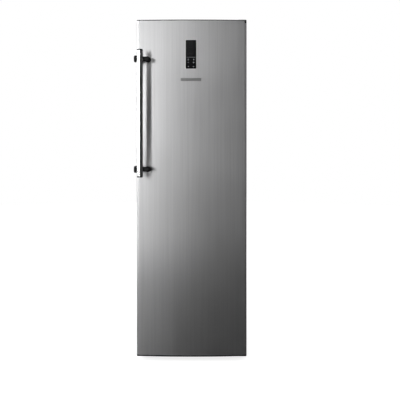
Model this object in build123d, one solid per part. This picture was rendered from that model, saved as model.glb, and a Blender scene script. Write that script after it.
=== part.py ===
from build123d import *
import math
import os

os.makedirs("parts", exist_ok=True)

# Upright freezer, door hinged at the right. Millimetres, +Z up, the front looks towards -Y.
# Origin: on the floor, at the middle of the width, at the middle of the overall depth.

# ---------------------------------------------------------------- cabinet
WIDTH = 595.0
HALF = WIDTH / 2
CAB_FRONT = -219.0
CAB_DEEP = 563.0
CAB_BACK = CAB_FRONT + CAB_DEEP
CAB_BOTTOM = 34.0
CAB_TOP = 1852.0
SHEET = 0.8
LINER = 1.5
SHELL_FLANGE = 35.5
SIDE_WALL = 68.0
FLOOR_WALL = 73.0
CEILING_WALL = 72.0
BACK_WALL = 69.0
CAV_HALF = HALF - SIDE_WALL
CAV_FLOOR = CAB_BOTTOM + FLOOR_WALL
CAV_CEIL = CAB_TOP - CEILING_WALL
CAV_BACK = CAB_BACK - BACK_WALL
CAV_ROUND = 10.0
BAY_DEEP = 194.0
BAY_TALL = 216.0
BAY_SIDE = 21.5
BAY_Y = CAB_BACK - BAY_DEEP
BAY_TOP = CAB_BOTTOM + BAY_TALL
BAY_HALF = HALF - BAY_SIDE
STEP_WALL = 60.0
STEP_ROOF = 66.0
STEP_Y = BAY_Y - STEP_WALL
STEP_Z = BAY_TOP + STEP_ROOF

# ---------------------------------------------------------------- fits
SEAT = 0.3
RUN_FIT = 0.05
SKIN_FIT = 0.05

# ---------------------------------------------------------------- cold air duct
DUCT_DEEP = 72.0
DUCT_Y = CAV_BACK - DUCT_DEEP
DUCT_THICK = 2.0
DUCT_GAP = 0.6
DUCT_RETURN = 10.0
SLOT_WIDE = 100.0
SLOT_TALL = 7.0
SLOT_PITCH = 150.0
SLOT_DROP = 45.0

# ---------------------------------------------------------------- compartments
DRAWER_TIERS = 4
FLAP_TIERS = 2
FLAP_TIER_MORE = 3.0
SHELF_OVER_STEP = 6.0
LOW_SHELF = STEP_Z + SHELF_OVER_STEP
LOW_TIER = LOW_SHELF - CAV_FLOOR
UPPER_TALL = CAV_CEIL - LOW_SHELF - FLAP_TIERS * FLAP_TIER_MORE
DRAWER_TIER = UPPER_TALL / (DRAWER_TIERS + FLAP_TIERS)
FLAP_TIER = DRAWER_TIER + FLAP_TIER_MORE
GLASS = 4.0
SHELF_SET_BACK = 31.0
SHELF_BEHIND = 5.0
SHELF_FRONT = CAB_FRONT + SHELF_SET_BACK
SHELF_BACK = DUCT_Y - SHELF_BEHIND
SHELF_GAP = 3.5
TRIM_DEPTH = 4.5
TRIM_UP = 1.0
TRIM_DOWN = 9.0
TRIM_ROUND = 1.5
LEDGE_IN = 12.5
LEDGE_TALL = 8.0
LEDGE_SHORT = 3.0

# ---------------------------------------------------------------- drawers
DRAWER_SIDE = 13.5
DRAWER_SET = 3.0
DRAWER_BEHIND = 8.0
DRAWER_STEP_GAP = 10.0
DRAWER_HALF = CAV_HALF - DRAWER_SIDE
DRAWER_FRONT = SHELF_FRONT - DRAWER_SET
DRAWER_BACK = SHELF_BACK - DRAWER_BEHIND
DRAWER_BACK_LOW = STEP_Y - DRAWER_STEP_GAP
DRAWER_WALL = 2.5
DRAWER_LIFT = 0.4
DRAWER_ROUND = 12.0
DRAWER_HEADROOM = 34.0
RIM = 4.0
PANEL_SIDE = 5.5
PANEL_HALF = CAV_HALF - PANEL_SIDE
PANEL_THICK = 4.0
PANEL_HEADROOM = 16.0
PANEL_ROUND = 8.0
GRIP_WIDE = 130.0
GRIP_TALL = 26.0
GRIP_DROP = 14.0
GRIP_ROUND = 8.5

# ---------------------------------------------------------------- flaps
FLAP_SIDE = 6.5
FLAP_SET_BACK = 28.0
FLAP_HALF = CAV_HALF - FLAP_SIDE
FLAP_FRONT = SHELF_FRONT + FLAP_SET_BACK
FLAP_THICK = 4.0
FLAP_PIVOT_DROP = 24.0
FLAP_OVER = 6.0
FLAP_CLEAR = 8.0
FLAP_PIN_R = 3.0
FLAP_PIN_LONG = 5.5
FLAP_LIP_HALF = 60.0
FLAP_LIP_DEEP = 12.0
FLAP_LIP_TALL = 5.0
FLAP_BLOCK = 14.0
FLAP_BLOCK_IN = 5.0
FLAP_BLOCK_ROUND = 2.8

# ---------------------------------------------------------------- door
DOOR_DROP = 4.0
DOOR_UNDER = 2.0
DOOR_GAP = 12.0
DOOR_DEEP = 71.0
DOOR_BOTTOM = CAB_BOTTOM - DOOR_DROP
DOOR_TOP = CAB_TOP - DOOR_UNDER
DOOR_BACK = CAB_FRONT - DOOR_GAP
CROWN_Y = DOOR_BACK - DOOR_DEEP
BOW_R = 4004.5
EDGE_WIDE = 14.0
BOW_X = HALF - EDGE_WIDE
EDGE_R = 70.0
CORNER_R = 4.0
TOP_CAP = 5.0
BOTTOM_CAP = 8.0
CAP_PLUG = 12.0
CAP_ROUND = 1.2
RETURN = 12.0
PLUG_INSET = 1.2
DIKE_SIDE = 29.5
DIKE_END = 28.0
DIKE_REACH = 12.0
DIKE_HALF = CAV_HALF - DIKE_SIDE
DIKE_BOTTOM = CAV_FLOOR + DIKE_END
DIKE_TOP = CAV_CEIL - DIKE_END
DIKE_WIDE = 24.0
DIKE_Y = CAB_FRONT + DIKE_REACH
DIKE_ROUND = 4.0
GASKET_INSET = 13.5
GASKET_WIDE = 22.0
GASKET_ROUND = 2.5

# ---------------------------------------------------------------- hinges
AXIS_IN = 12.5
AXIS_FORWARD = 31.0
AXIS_X = HALF - AXIS_IN
AXIS_Y = DOOR_BACK - AXIS_FORWARD
PIN_R = 5.0
PIN_IN_DOOR = 18.0
PIN_TIP_GAP = 2.0
BUSH_R = 8.0
BUSH_LIP_R = 10.0
BUSH_LIP = 1.2
HINGE_PLATE = 3.0
HINGE_WIDE = 30.0
HINGE_DEEP = 112.0
HINGE_ARM_LEFT = AXIS_X - HINGE_WIDE
HINGE_NOSE = 12.0
HINGE_REAR = AXIS_Y + HINGE_DEEP
HINGE_COLLAR_R = 8.0
HINGE_ROUND = 4.0
HINGE_SCREW_R = 3.0
HINGE_HEAD_R = 5.0
HINGE_HEAD = 2.6
HINGE_SCREWS = ((-21.0, 57.0), (-21.0, 97.0), (2.0, 77.0))
COVER_WALL = 2.0
COVER_SPARE = 7.0
COVER_TALL = 13.0
COVER_ROUND = 4.0
COVER_LEFT = HINGE_ARM_LEFT - COVER_SPARE
COVER_FRONT = CAB_FRONT + COVER_SPARE
COVER_REAR = HINGE_REAR + 2 * COVER_ROUND + HINGE_ROUND

# ---------------------------------------------------------------- handle
BAR_IN = 21.5
BAR_PROUD = 53.0
BAR_UNDER = 166.0
BAR_LONG = 684.5
BAR_X = -HALF + BAR_IN
BAR_WIDE = 31.0
BAR_THICK = 18.0
BAR_TOP = DOOR_TOP - BAR_UNDER
BAR_BOTTOM = BAR_TOP - BAR_LONG
BAR_FRONT = CROWN_Y - BAR_PROUD
BAR_RIDGE = 0.6
BAR_LEFT_FALL = 6.3
BAR_RIGHT_FALL = 12.8
BAR_LEFT_SIDE = 4.7
BAR_BACK_BEVEL = 9.5
BAR_EDGE_ROUND = 3.0
BAR_WALL = 2.0
BAR_CAP = 8.0
BAR_CAP_ROUND = 1.5
BAR_CAP_CORNER = 7.0
BAR_CAP_PLUG = 9.0
BRACKET_LOW = 42.5
BRACKET_HIGH = 50.0
BRACKET_Z = (BAR_BOTTOM + BRACKET_LOW, BAR_TOP - BRACKET_HIGH)
NECK_SIDE = 40.0
NECK_X = BAR_X + NECK_SIDE
NECK_R = 12.5
NECK_FOOT_R = 15.0
NECK_FOOT_TALL = 4.0
ARM_GAP = 1.5
KNOB_REACH = 33.0
KNOB_LONG = 17.0
KNOB_R = 18.5
KNOB_LEFT = BAR_X - KNOB_REACH
KNOB_RIGHT = KNOB_LEFT + KNOB_LONG
KNOB_CHAMFER = 4.0
SADDLE_WIDE = 9.0
SADDLE_TALL = 24.0
SET_SCREW_R = 2.5
SET_SCREW_LONG = 8.0
SET_SCREW_PROUD = 4.0
SET_SCREW_SUNK = 1.0
SET_SCREW_Y = CROWN_Y - SET_SCREW_PROUD
HEX_R = 1.4
HEX_DEEP = 3.0

# ---------------------------------------------------------------- display and nameplate
DISPLAY_UNDER = 110.5
DISPLAY_TALL = 155.5
DISPLAY_X = -4.0
DISPLAY_WIDE = 58.0
DISPLAY_TOP = DOOR_TOP - DISPLAY_UNDER
DISPLAY_BOTTOM = DISPLAY_TOP - DISPLAY_TALL
DISPLAY_ROUND = 5.0
BEZEL = 1.8
BEZEL_PROUD = 1.2
BEZEL_ROUND = 0.6
SLEEVE = 1.2
SLEEVE_DEEP = 9.0
SCREEN = 3.0
SCREEN_PROUD = 0.9
BOARD = 1.6
BOARD_INSET = 4.0
BOARD_ROUND = 1.0
PLATE_UNDER = 50.0
PLATE_TALL = 16.0
PLATE_WIDE = 111.0
PLATE_TOP = DISPLAY_BOTTOM - PLATE_UNDER
PLATE_BOTTOM = PLATE_TOP - PLATE_TALL
PLATE_THICK = 1.2
PLATE_ROUND = 2.0

# ---------------------------------------------------------------- base
RAIL_SIDE = 7.5
RAIL_SET_BACK = 7.0
RAIL_DEEP = 62.0
RAIL_TALL = 8.0
RAIL_WALL = 2.0
RAIL_HALF = HALF - RAIL_SIDE
RAIL_FRONT = CAB_FRONT + RAIL_SET_BACK
RAIL_REAR = RAIL_FRONT + RAIL_DEEP
RAIL_BOTTOM = CAB_BOTTOM - RAIL_TALL
FOOT_IN = 65.0
FOOT_X = RAIL_HALF - FOOT_IN
FOOT_Y = (RAIL_FRONT + RAIL_REAR) / 2
FOOT_PAD_R = 19.0
FOOT_PAD = 8.0
FOOT_BEVEL = 2.0
FOOT_NUT_R = 9.5
FOOT_NUT = 6.0
FOOT_STEM_R = 5.0
FOOT_STEM_DROP = 3.0
FOOT_STEM_TOP = CAB_BOTTOM - FOOT_STEM_DROP
BOSS_R = 11.0
BOSS_TALL = 7.0
BOSS_BOTTOM = RAIL_BOTTOM - BOSS_TALL
DECK_SIDE = 1.5
DECK_LAP = 30.0
DECK_THICK = 2.0
DECK_LIP = 15.0
DECK_LIP_SIDE = 1.0
DECK_HALF = HALF - DECK_SIDE
DECK_FRONT = BAY_Y - DECK_LAP
DECK_LIP_HALF = BAY_HALF - DECK_LIP_SIDE
ROLLER_IN = 36.0
ROLLER_FORWARD = 44.0
ROLLER_X = BAY_HALF - ROLLER_IN
ROLLER_Y = CAB_BACK - ROLLER_FORWARD
ROLLER_R = 13.0
ROLLER_WIDE = 16.0
ROLLER_ROUND = 1.3
AXLE_R = 3.0
AXLE_PROUD = 1.0
CHEEK = 2.0
CHEEK_GAP = 0.5
CHEEK_DEEP = 20.0
CHEEK_BOTTOM = 7.0
SPACER_IN = 97.5
SPACER_UNDER = 152.0
SPACER_X = HALF - SPACER_IN
SPACER_Z = CAB_TOP - SPACER_UNDER
SPACER_WIDE = 30.0
SPACER_TALL = 50.0
SPACER_DEEP = 12.0
SPACER_ROUND = 4.0

# ---------------------------------------------------------------- compressor bay
MOUNT_TALL = 14.0
MOUNT_X = 90.0
MOUNT_Y = 46.0
MOUNT_R = 11.0
MOUNT_BORE = 4.0
POT_FORWARD = 99.0
POT_X = 60.0
POT_Y = CAB_BACK - POT_FORWARD
POT_R = 75.0
POT_TALL = 148.0
POT_BASE = CAB_BOTTOM + MOUNT_TALL
POT_TOP_ROUND = 34.0
POT_FOOT_ROUND = 12.0
POT_SEAM_R = 77.0
POT_SEAM = 5.0
POT_PLATE = 3.0
POT_PLATE_X = 105.0
POT_PLATE_Y = 60.0
RELAY_LEFT = 112.0
RELAY_RIGHT = 55.0
RELAY_DEEP = 33.0
RELAY_LOW = 42.0
RELAY_HIGH = 112.0
PAN_HALF_X = 95.0
PAN_HALF_Y = 73.0
PAN_TALL = 28.0
PAN_WALL = 2.0
PAN_ROUND = 8.0
SUCTION_R = 4.5
SUCTION_BEND = 13.5
SUCTION_SIDE = 106.0
SUCTION_UP = 102.0
SUCTION_X = POT_X + SUCTION_SIDE
SUCTION_Z = POT_BASE + SUCTION_UP
DISCHARGE_R = 3.0
DISCHARGE_BEND = 12.0
DISCHARGE_SIDE = 122.0
DISCHARGE_BACK = 57.0
DISCHARGE_UP = 37.0
DISCHARGE_X = POT_X + DISCHARGE_SIDE
DISCHARGE_Y = POT_Y + DISCHARGE_BACK
DISCHARGE_Z = POT_BASE + DISCHARGE_UP
DRIER_IN = 76.0
DRIER_BACK = 5.0
DRIER_DROP = 35.0
DRIER_LONG = 95.0
DRIER_X = -BAY_HALF + DRIER_IN
DRIER_Y = POT_Y + DRIER_BACK
DRIER_TOP = BAY_TOP - DRIER_DROP
DRIER_BOTTOM = DRIER_TOP - DRIER_LONG
DRIER_R = 10.0
DRIER_CONE = 10.0
DRIER_TUBE_R = 3.0
CAPILLARY_R = 1.5
CAPILLARY_BEND = 9.0
CAPILLARY_SIDE = 32.0
CAPILLARY_DROP = 40.0
CAPILLARY_X = DRIER_X + CAPILLARY_SIDE
CAPILLARY_Z = DRIER_BOTTOM - CAPILLARY_DROP
CONTROL_GAP = 6.0
CONTROL_WIDE = 45.0
CONTROL_BEHIND = 25.0
CONTROL_DEEP = 90.0
CONTROL_UP = 26.0
CONTROL_DROP = 50.0
CONTROL_ROUND = 4.0
CONTROL_LEFT = -BAY_HALF + CONTROL_GAP
CONTROL_RIGHT = CONTROL_LEFT + CONTROL_WIDE
CONTROL_FRONT = BAY_Y + CONTROL_BEHIND
CONTROL_REAR = CONTROL_FRONT + CONTROL_DEEP
CONTROL_LOW = CAB_BOTTOM + CONTROL_UP
CONTROL_HIGH = BAY_TOP - CONTROL_DROP
INLET_R = 9.0
INLET_BORE = 4.2
INLET_LONG = 14.0
INLET_FLANGE_R = 13.0
INLET_FLANGE = 3.0
INLET_UP = 25.0
INLET_Z = CONTROL_LOW + INLET_UP

# ---------------------------------------------------------------- evaporator, fan and drain
FIN_SIDE = 49.5
FIN_NEAR = 7.0
FIN_DEEP = 46.0
FIN_UP = 36.0
FIN_TALL = 214.0
FIN_HALF = CAV_HALF - FIN_SIDE
FIN_BACK = CAV_BACK - FIN_NEAR
FIN_FRONT = FIN_BACK - FIN_DEEP
FIN_LOW = STEP_Z + FIN_UP
FIN_HIGH = FIN_LOW + FIN_TALL
FIN_COUNT = 30
FIN_THICK = 0.6
FIN_END = 1.6
FIN_END_FORWARD = 8.5
FIN_END_DOWN = 28.0
FIN_END_Y = FIN_FRONT - FIN_END_FORWARD
FIN_END_Z = FIN_LOW - FIN_END_DOWN
TUBE_R = 4.0
TUBE_ROWS = 7
TUBE_PITCH = 30.0
TUBE_UP = 17.0
TUBE_IN = 12.0
TUBE_FIRST = FIN_LOW + TUBE_UP
TUBE_Y = (FIN_FRONT + TUBE_IN, FIN_BACK - TUBE_IN)
TUBE_TURN = 14.0
TUBE_BEYOND = 22.0
TUBE_REACH = FIN_HALF + TUBE_BEYOND
HEATER_R = 3.5
HEATER_DROP = 14.0
HEATER_IN = 15.0
HEATER_Z = FIN_LOW - HEATER_DROP
HEATER_Y = (FIN_FRONT + HEATER_IN, FIN_BACK - HEATER_IN)
FAN_UP = 134.0
FAN_Z = FIN_HIGH + FAN_UP
FAN_PLATE = 96.0
FAN_PLATE_THICK = 2.0
FAN_RING_R = 61.0
FAN_RING_WALL = 2.0
FAN_RING_DEEP = 33.0
FAN_RING_BACK = DUCT_Y + DUCT_THICK + FAN_RING_DEEP
FAN_HUB_R = 16.0
FAN_HUB_NEAR = 10.0
FAN_HUB_LONG = 15.0
FAN_HUB_FRONT = DUCT_Y + FAN_HUB_NEAR
FAN_HUB_BACK = FAN_HUB_FRONT + FAN_HUB_LONG
FAN_SHAFT_R = 2.0
FAN_SHAFT_SUNK = 1.0
FAN_SHAFT_TIP = FAN_HUB_FRONT + FAN_SHAFT_SUNK
FAN_MOTOR_R = 18.0
FAN_MOTOR_GAP = 2.0
FAN_MOTOR_LONG = 26.0
FAN_MOTOR_FRONT = FAN_HUB_BACK + FAN_MOTOR_GAP
FAN_MOTOR_BACK = FAN_MOTOR_FRONT + FAN_MOTOR_LONG
FAN_STRUTS = 3
FAN_STRUT = 6.0
FAN_STRUT_DEEP = 4.0
FAN_STRUT_IN = 2.0
FAN_STRUT_BACK = FAN_RING_BACK - FAN_STRUT_IN
FAN_STRUT_FRONT = FAN_STRUT_BACK - FAN_STRUT_DEEP
FAN_TIP_R = 57.0
FAN_BLADES = 7
FAN_BLADE = 1.4
FAN_CHORD = 17.0
FAN_CHORD_ROUND = 4.25
FAN_BLADE_ANGLE = 55.0
FAN_GRILLE_SLOTS = 7
FAN_GRILLE_PITCH = 12.0
FAN_GRILLE_R = 48.8
DRAIN_SIDE = 40.0
DRAIN_FORWARD = 13.0
DRAIN_X = POT_X + DRAIN_SIDE
DRAIN_Y = POT_Y - DRAIN_FORWARD
DRAIN_R = 8.0
DRAIN_WALL = 1.5
DRAIN_LIP_R = 14.0
DRAIN_LIP = 2.0
DRAIN_BELOW = 28.0
DRAIN_END = BAY_TOP - DRAIN_BELOW
LAMP_HALF = 110.0
LAMP_BEHIND = 59.0
LAMP_DEEP = 30.0
LAMP_TALL = 6.0
LAMP_ROUND = 2.5
LAMP_Y = CAB_FRONT + LAMP_BEHIND

# ---------------------------------------------------------------- derived heights
SHELF_Z = [LOW_SHELF + DRAWER_TIER * i for i in range(DRAWER_TIERS + 1)]
SHELF_Z = SHELF_Z + [SHELF_Z[-1] + FLAP_TIER * i for i in range(1, FLAP_TIERS)]
FLAP_FLOORS = [SHELF_Z[DRAWER_TIERS] + FLAP_TIER * i for i in range(FLAP_TIERS)]
GLASS_HALF = CAV_HALF - SHELF_GAP
FOAM_HALF = HALF - SHEET
FOAM_TOP = CAB_TOP - SHEET
FOAM_BOTTOM = CAB_BOTTOM + SHEET
FOAM_BACK = CAB_BACK - SHEET
FOAM_FRONT = CAB_FRONT + LINER
LINER_HALF = CAV_HALF + LINER
WINDOW_HALF = HALF - SHELL_FLANGE
BAY_SKIN = BAY_HALF + SHEET
DOOR_LINER_Y = DOOR_BACK - SHEET
DOOR_LINER_IN = DOOR_LINER_Y - LINER
SKIN_BOTTOM = DOOR_BOTTOM + BOTTOM_CAP
SKIN_TOP = DOOR_TOP - TOP_CAP
DOOR_FOAM_BOTTOM = SKIN_BOTTOM + CAP_PLUG
DOOR_FOAM_TOP = SKIN_TOP - CAP_PLUG
BAR_BACK = BAR_FRONT + BAR_THICK
ARM_Y = BAR_BACK + ARM_GAP + NECK_R


# ---------------------------------------------------------------- helpers
def span(x0, x1, y0, y1, z0, z1):
    """Box given by its limits."""
    middle = Pos((x0 + x1) / 2, (y0 + y1) / 2, (z0 + z1) / 2)
    return middle * Box(x1 - x0, y1 - y0, z1 - z0)


def rod_x(r, x0, x1, y, z):
    return Pos((x0 + x1) / 2, y, z) * Rot(0, 90, 0) * Cylinder(r, x1 - x0)


def rod_y(r, y0, y1, x, z):
    return Pos(x, (y0 + y1) / 2, z) * Rot(90, 0, 0) * Cylinder(r, y1 - y0)


def rod_z(r, z0, z1, x, y):
    return Pos(x, y, (z0 + z1) / 2) * Cylinder(r, z1 - z0)


def rounded(solid, axis, r):
    """Round all edges that run along one axis."""
    return fillet(solid.edges().filter_by(axis), r)


def frame(half, z0, z1, wide, y0, y1):
    """Rectangular frame, open along Y, with bars of one width."""
    outer = span(-half, half, y0, y1, z0, z1)
    return outer - span(-half + wide, half - wide, y0, y1, z0 + wide, z1 - wide)


def tube(points, bend, r):
    """Round rod along a bent line."""
    path = FilletPolyline(*points, radius=bend)
    start = Plane(origin=path @ 0, z_dir=path % 0)
    return sweep(start * Circle(r), path=path)


def group(*pieces):
    """Separate solids kept as one node."""
    return Compound([s for piece in pieces for s in piece.solids()])


def mirrored(piece):
    return mirror(piece, about=Plane.YZ)


# ---------------------------------------------------------------- cabinet shell, foam and liner
def outer_shell():
    """Painted wrap: sides, top, front bottom and the flange that the gasket closes on."""
    outer = span(-HALF, HALF, CAB_FRONT, FOAM_BACK, CAB_BOTTOM, CAB_TOP)
    inside = span(
        -FOAM_HALF, FOAM_HALF, CAB_FRONT + SHEET, FOAM_BACK, FOAM_BOTTOM, FOAM_TOP
    )
    low = CAB_BOTTOM + SHELL_FLANGE
    high = CAB_TOP - SHELL_FLANGE
    window = span(-WINDOW_HALF, WINDOW_HALF, CAB_FRONT, CAB_FRONT + SHEET, low, high)
    bay = span(-FOAM_HALF, FOAM_HALF, BAY_Y, FOAM_BACK, CAB_BOTTOM, FOAM_BOTTOM)
    return outer - inside - window - bay


def drain_hole(z0, z1):
    return rod_z(DRAIN_R + SEAT, z0, z1, DRAIN_X, DRAIN_Y)


def cabinet_insulation():
    """Foam around the cavity, as slabs that meet face to face."""
    back = CAV_BACK + LINER
    step_y = STEP_Y + LINER
    step_z = STEP_Z - LINER
    floor = CAV_FLOOR - LINER
    ceiling = CAV_CEIL + LINER
    bay_y = BAY_Y - SHEET
    bay_z = BAY_TOP + SHEET
    side = group(
        span(LINER_HALF, FOAM_HALF, FOAM_FRONT, FOAM_BACK, bay_z, FOAM_TOP),
        span(LINER_HALF, FOAM_HALF, FOAM_FRONT, bay_y, FOAM_BOTTOM, bay_z),
        span(BAY_SKIN, FOAM_HALF, BAY_Y, FOAM_BACK, CAB_BOTTOM, bay_z),
    )
    above_bay = span(-LINER_HALF, LINER_HALF, step_y, FOAM_BACK, bay_z, step_z)
    return group(
        side,
        mirrored(side),
        span(-LINER_HALF, LINER_HALF, FOAM_FRONT, FOAM_BACK, ceiling, FOAM_TOP),
        span(-LINER_HALF, LINER_HALF, back, FOAM_BACK, step_z, ceiling),
        above_bay - drain_hole(bay_z, step_z),
        span(-LINER_HALF, LINER_HALF, step_y, bay_y, FOAM_BOTTOM, bay_z),
        span(-LINER_HALF, LINER_HALF, FOAM_FRONT, step_y, FOAM_BOTTOM, floor),
    )


def cavity(grow):
    """The cold space, or its wall's outer face when grown."""
    half = CAV_HALF + grow
    high = CAV_CEIL + grow
    low = CAV_FLOOR - grow
    upper = span(-half, half, CAB_FRONT, CAV_BACK + grow, STEP_Z - grow, high)
    lower = span(-half, half, CAB_FRONT, STEP_Y + grow, low, STEP_Z - grow)
    block = upper + lower
    long_edges = block.edges().filter_by(Axis.Y)
    corners = [e for e in long_edges if e.center().Z > high - 1 or e.center().Z < low + 1]
    return fillet(corners, CAV_ROUND + grow)


def inner_liner():
    """Moulded liner of the cavity with its front flange and the step over the bay."""
    flange = span(
        -WINDOW_HALF,
        WINDOW_HALF,
        CAB_FRONT,
        FOAM_FRONT,
        CAB_BOTTOM + SHELL_FLANGE,
        CAB_TOP - SHELL_FLANGE,
    )
    wall = cavity(LINER) + flange
    return wall - cavity(0) - drain_hole(STEP_Z - LINER, STEP_Z)


def back_panel():
    return span(-HALF, HALF, FOAM_BACK, CAB_BACK, BAY_TOP, CAB_TOP)


def bay_panel():
    """Sheet that closes the foam towards the compressor bay."""
    outer = span(
        -BAY_SKIN, BAY_SKIN, BAY_Y - SHEET, FOAM_BACK, CAB_BOTTOM, BAY_TOP + SHEET
    )
    inside = span(-BAY_HALF, BAY_HALF, BAY_Y, FOAM_BACK, CAB_BOTTOM, BAY_TOP)
    low_front = span(-BAY_SKIN, BAY_SKIN, BAY_Y - SHEET, BAY_Y, CAB_BOTTOM, FOAM_BOTTOM)
    return outer - inside - low_front - drain_hole(BAY_TOP, BAY_TOP + SHEET)


def rear_spacers():
    block = span(
        SPACER_X - SPACER_WIDE / 2,
        SPACER_X + SPACER_WIDE / 2,
        CAB_BACK,
        CAB_BACK + SPACER_DEEP,
        SPACER_Z,
        SPACER_Z + SPACER_TALL,
    )
    block = rounded(block, Axis.Y, SPACER_ROUND)
    return group(block, mirrored(block))


# ---------------------------------------------------------------- base, feet and rollers
def base_rail():
    """Front cross rail under the cabinet, with the threaded bosses of the feet."""
    rail = span(-RAIL_HALF, RAIL_HALF, RAIL_FRONT, RAIL_REAR, RAIL_BOTTOM, CAB_BOTTOM)
    hollow = span(
        -RAIL_HALF,
        RAIL_HALF,
        RAIL_FRONT + RAIL_WALL,
        RAIL_REAR - RAIL_WALL,
        RAIL_BOTTOM,
        CAB_BOTTOM - RAIL_WALL,
    )
    rail = rail - hollow
    for x in (-FOOT_X, FOOT_X):
        rail = rail + rod_z(BOSS_R, BOSS_BOTTOM, CAB_BOTTOM - RAIL_WALL, x, FOOT_Y)
    for x in (-FOOT_X, FOOT_X):
        bore_r = FOOT_STEM_R + RUN_FIT
        rail = rail - rod_z(bore_r, BOSS_BOTTOM, CAB_BOTTOM - RAIL_WALL, x, FOOT_Y)
    return rail


def foot(x):
    """Levelling foot: pad, hexagon and screw stem."""
    pad = rod_z(FOOT_PAD_R, 0, FOOT_PAD, x, FOOT_Y)
    pad = chamfer(pad.edges().group_by(Axis.Z)[-1], FOOT_BEVEL)
    hexagon = Pos(x, FOOT_Y, FOOT_PAD) * RegularPolygon(FOOT_NUT_R, 6)
    nut = extrude(hexagon, FOOT_NUT)
    return pad + nut + rod_z(FOOT_STEM_R, FOOT_PAD, FOOT_STEM_TOP, x, FOOT_Y)


def compressor_deck():
    deck = span(
        -DECK_HALF, DECK_HALF, DECK_FRONT, FOAM_BACK, CAB_BOTTOM - DECK_THICK, CAB_BOTTOM
    )
    lip = span(
        -DECK_LIP_HALF,
        DECK_LIP_HALF,
        FOAM_BACK - DECK_THICK,
        FOAM_BACK,
        CAB_BOTTOM,
        CAB_BOTTOM + DECK_LIP,
    )
    return deck + lip


def roller_bracket(x):
    """Steel fork that holds one roller under the deck."""
    inner = ROLLER_WIDE / 2 + CHEEK_GAP
    outer = inner + CHEEK
    top = CAB_BOTTOM - DECK_THICK
    y0 = ROLLER_Y - CHEEK_DEEP / 2
    y1 = ROLLER_Y + CHEEK_DEEP / 2
    fork = span(x - outer, x + outer, y0, y1, CHEEK_BOTTOM, top)
    fork = fork - span(x - inner, x + inner, y0, y1, CHEEK_BOTTOM, top - CHEEK)
    return fork - rod_x(AXLE_R + SEAT, x - outer, x + outer, ROLLER_Y, ROLLER_R)


def roller_axle(x):
    reach = ROLLER_WIDE / 2 + CHEEK_GAP + CHEEK + AXLE_PROUD
    return rod_x(AXLE_R, x - reach, x + reach, ROLLER_Y, ROLLER_R)


def roller(x):
    wheel = rod_x(ROLLER_R, x - ROLLER_WIDE / 2, x + ROLLER_WIDE / 2, ROLLER_Y, ROLLER_R)
    wheel = fillet(wheel.edges().filter_by(GeomType.CIRCLE), ROLLER_ROUND)
    bore_r = AXLE_R + RUN_FIT
    return wheel - rod_x(bore_r, x - ROLLER_WIDE, x + ROLLER_WIDE, ROLLER_Y, ROLLER_R)


# ---------------------------------------------------------------- compressor bay
def pot_body(grow):
    """Hermetic pot, or the same with a clearance round it."""
    low = POT_BASE + POT_PLATE
    pot = rod_z(POT_R + grow, low, low + POT_TALL + grow, POT_X, POT_Y)
    pot = fillet(pot.edges().group_by(Axis.Z)[-1], POT_TOP_ROUND + grow)
    return fillet(pot.edges().group_by(Axis.Z)[0], POT_FOOT_ROUND)


def compressor():
    middle = POT_BASE + POT_PLATE + POT_TALL / 2
    seam = rod_z(POT_SEAM_R, middle - POT_SEAM / 2, middle + POT_SEAM / 2, POT_X, POT_Y)
    plate = span(
        POT_X - POT_PLATE_X,
        POT_X + POT_PLATE_X,
        POT_Y - POT_PLATE_Y,
        POT_Y + POT_PLATE_Y,
        POT_BASE,
        POT_BASE + POT_PLATE,
    )
    plate = rounded(plate, Axis.Z, MOUNT_R)
    return pot_body(0) + seam + plate


def compressor_mounts():
    mounts = []
    for x in (POT_X - MOUNT_X, POT_X + MOUNT_X):
        for y in (POT_Y - MOUNT_Y, POT_Y + MOUNT_Y):
            mount = rod_z(MOUNT_R, CAB_BOTTOM, POT_BASE, x, y)
            mounts.append(mount - rod_z(MOUNT_BORE, CAB_BOTTOM, POT_BASE, x, y))
    return group(*mounts)


def terminal_cover():
    """Relay cover that sits against the side of the pot."""
    cover = span(
        POT_X - RELAY_LEFT,
        POT_X - RELAY_RIGHT,
        POT_Y - RELAY_DEEP,
        POT_Y + RELAY_DEEP,
        POT_BASE + RELAY_LOW,
        POT_BASE + RELAY_HIGH,
    )
    cover = rounded(cover, Axis.X, CONTROL_ROUND)
    low = POT_BASE + POT_PLATE
    grown = rod_z(POT_SEAM_R + SEAT, low, low + POT_TALL, POT_X, POT_Y)
    return cover - grown


def pan_block(inset, low, high):
    x = PAN_HALF_X - inset
    y = PAN_HALF_Y - inset
    block = span(POT_X - x, POT_X + x, POT_Y - y, POT_Y + y, low, high)
    return rounded(block, Axis.Z, PAN_ROUND - inset)


def evaporating_pan():
    low = POT_BASE + POT_PLATE + POT_TALL + SEAT
    high = low + PAN_TALL
    tray = pan_block(0, low, high)
    return tray - pan_block(PAN_WALL, low + PAN_WALL, high)


def refrigerant_tubes():
    """Suction, discharge and capillary tubes, each ending where it enters the foam."""
    start = POT_X + POT_R + SEAT
    suction = tube(
        [
            (start, POT_Y, SUCTION_Z),
            (SUCTION_X, POT_Y, SUCTION_Z),
            (SUCTION_X, POT_Y, BAY_TOP),
        ],
        SUCTION_BEND,
        SUCTION_R,
    )
    discharge = tube(
        [
            (start, POT_Y, DISCHARGE_Z),
            (DISCHARGE_X, POT_Y, DISCHARGE_Z),
            (DISCHARGE_X, DISCHARGE_Y, DISCHARGE_Z),
            (DISCHARGE_X, DISCHARGE_Y, BAY_TOP),
        ],
        DISCHARGE_BEND,
        DISCHARGE_R,
    )
    capillary = tube(
        [
            (DRIER_X, DRIER_Y, DRIER_BOTTOM),
            (DRIER_X, DRIER_Y, CAPILLARY_Z),
            (CAPILLARY_X, DRIER_Y, CAPILLARY_Z),
            (CAPILLARY_X, DRIER_Y, BAY_TOP),
        ],
        CAPILLARY_BEND,
        CAPILLARY_R,
    )
    return group(suction, discharge, capillary)


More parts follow.
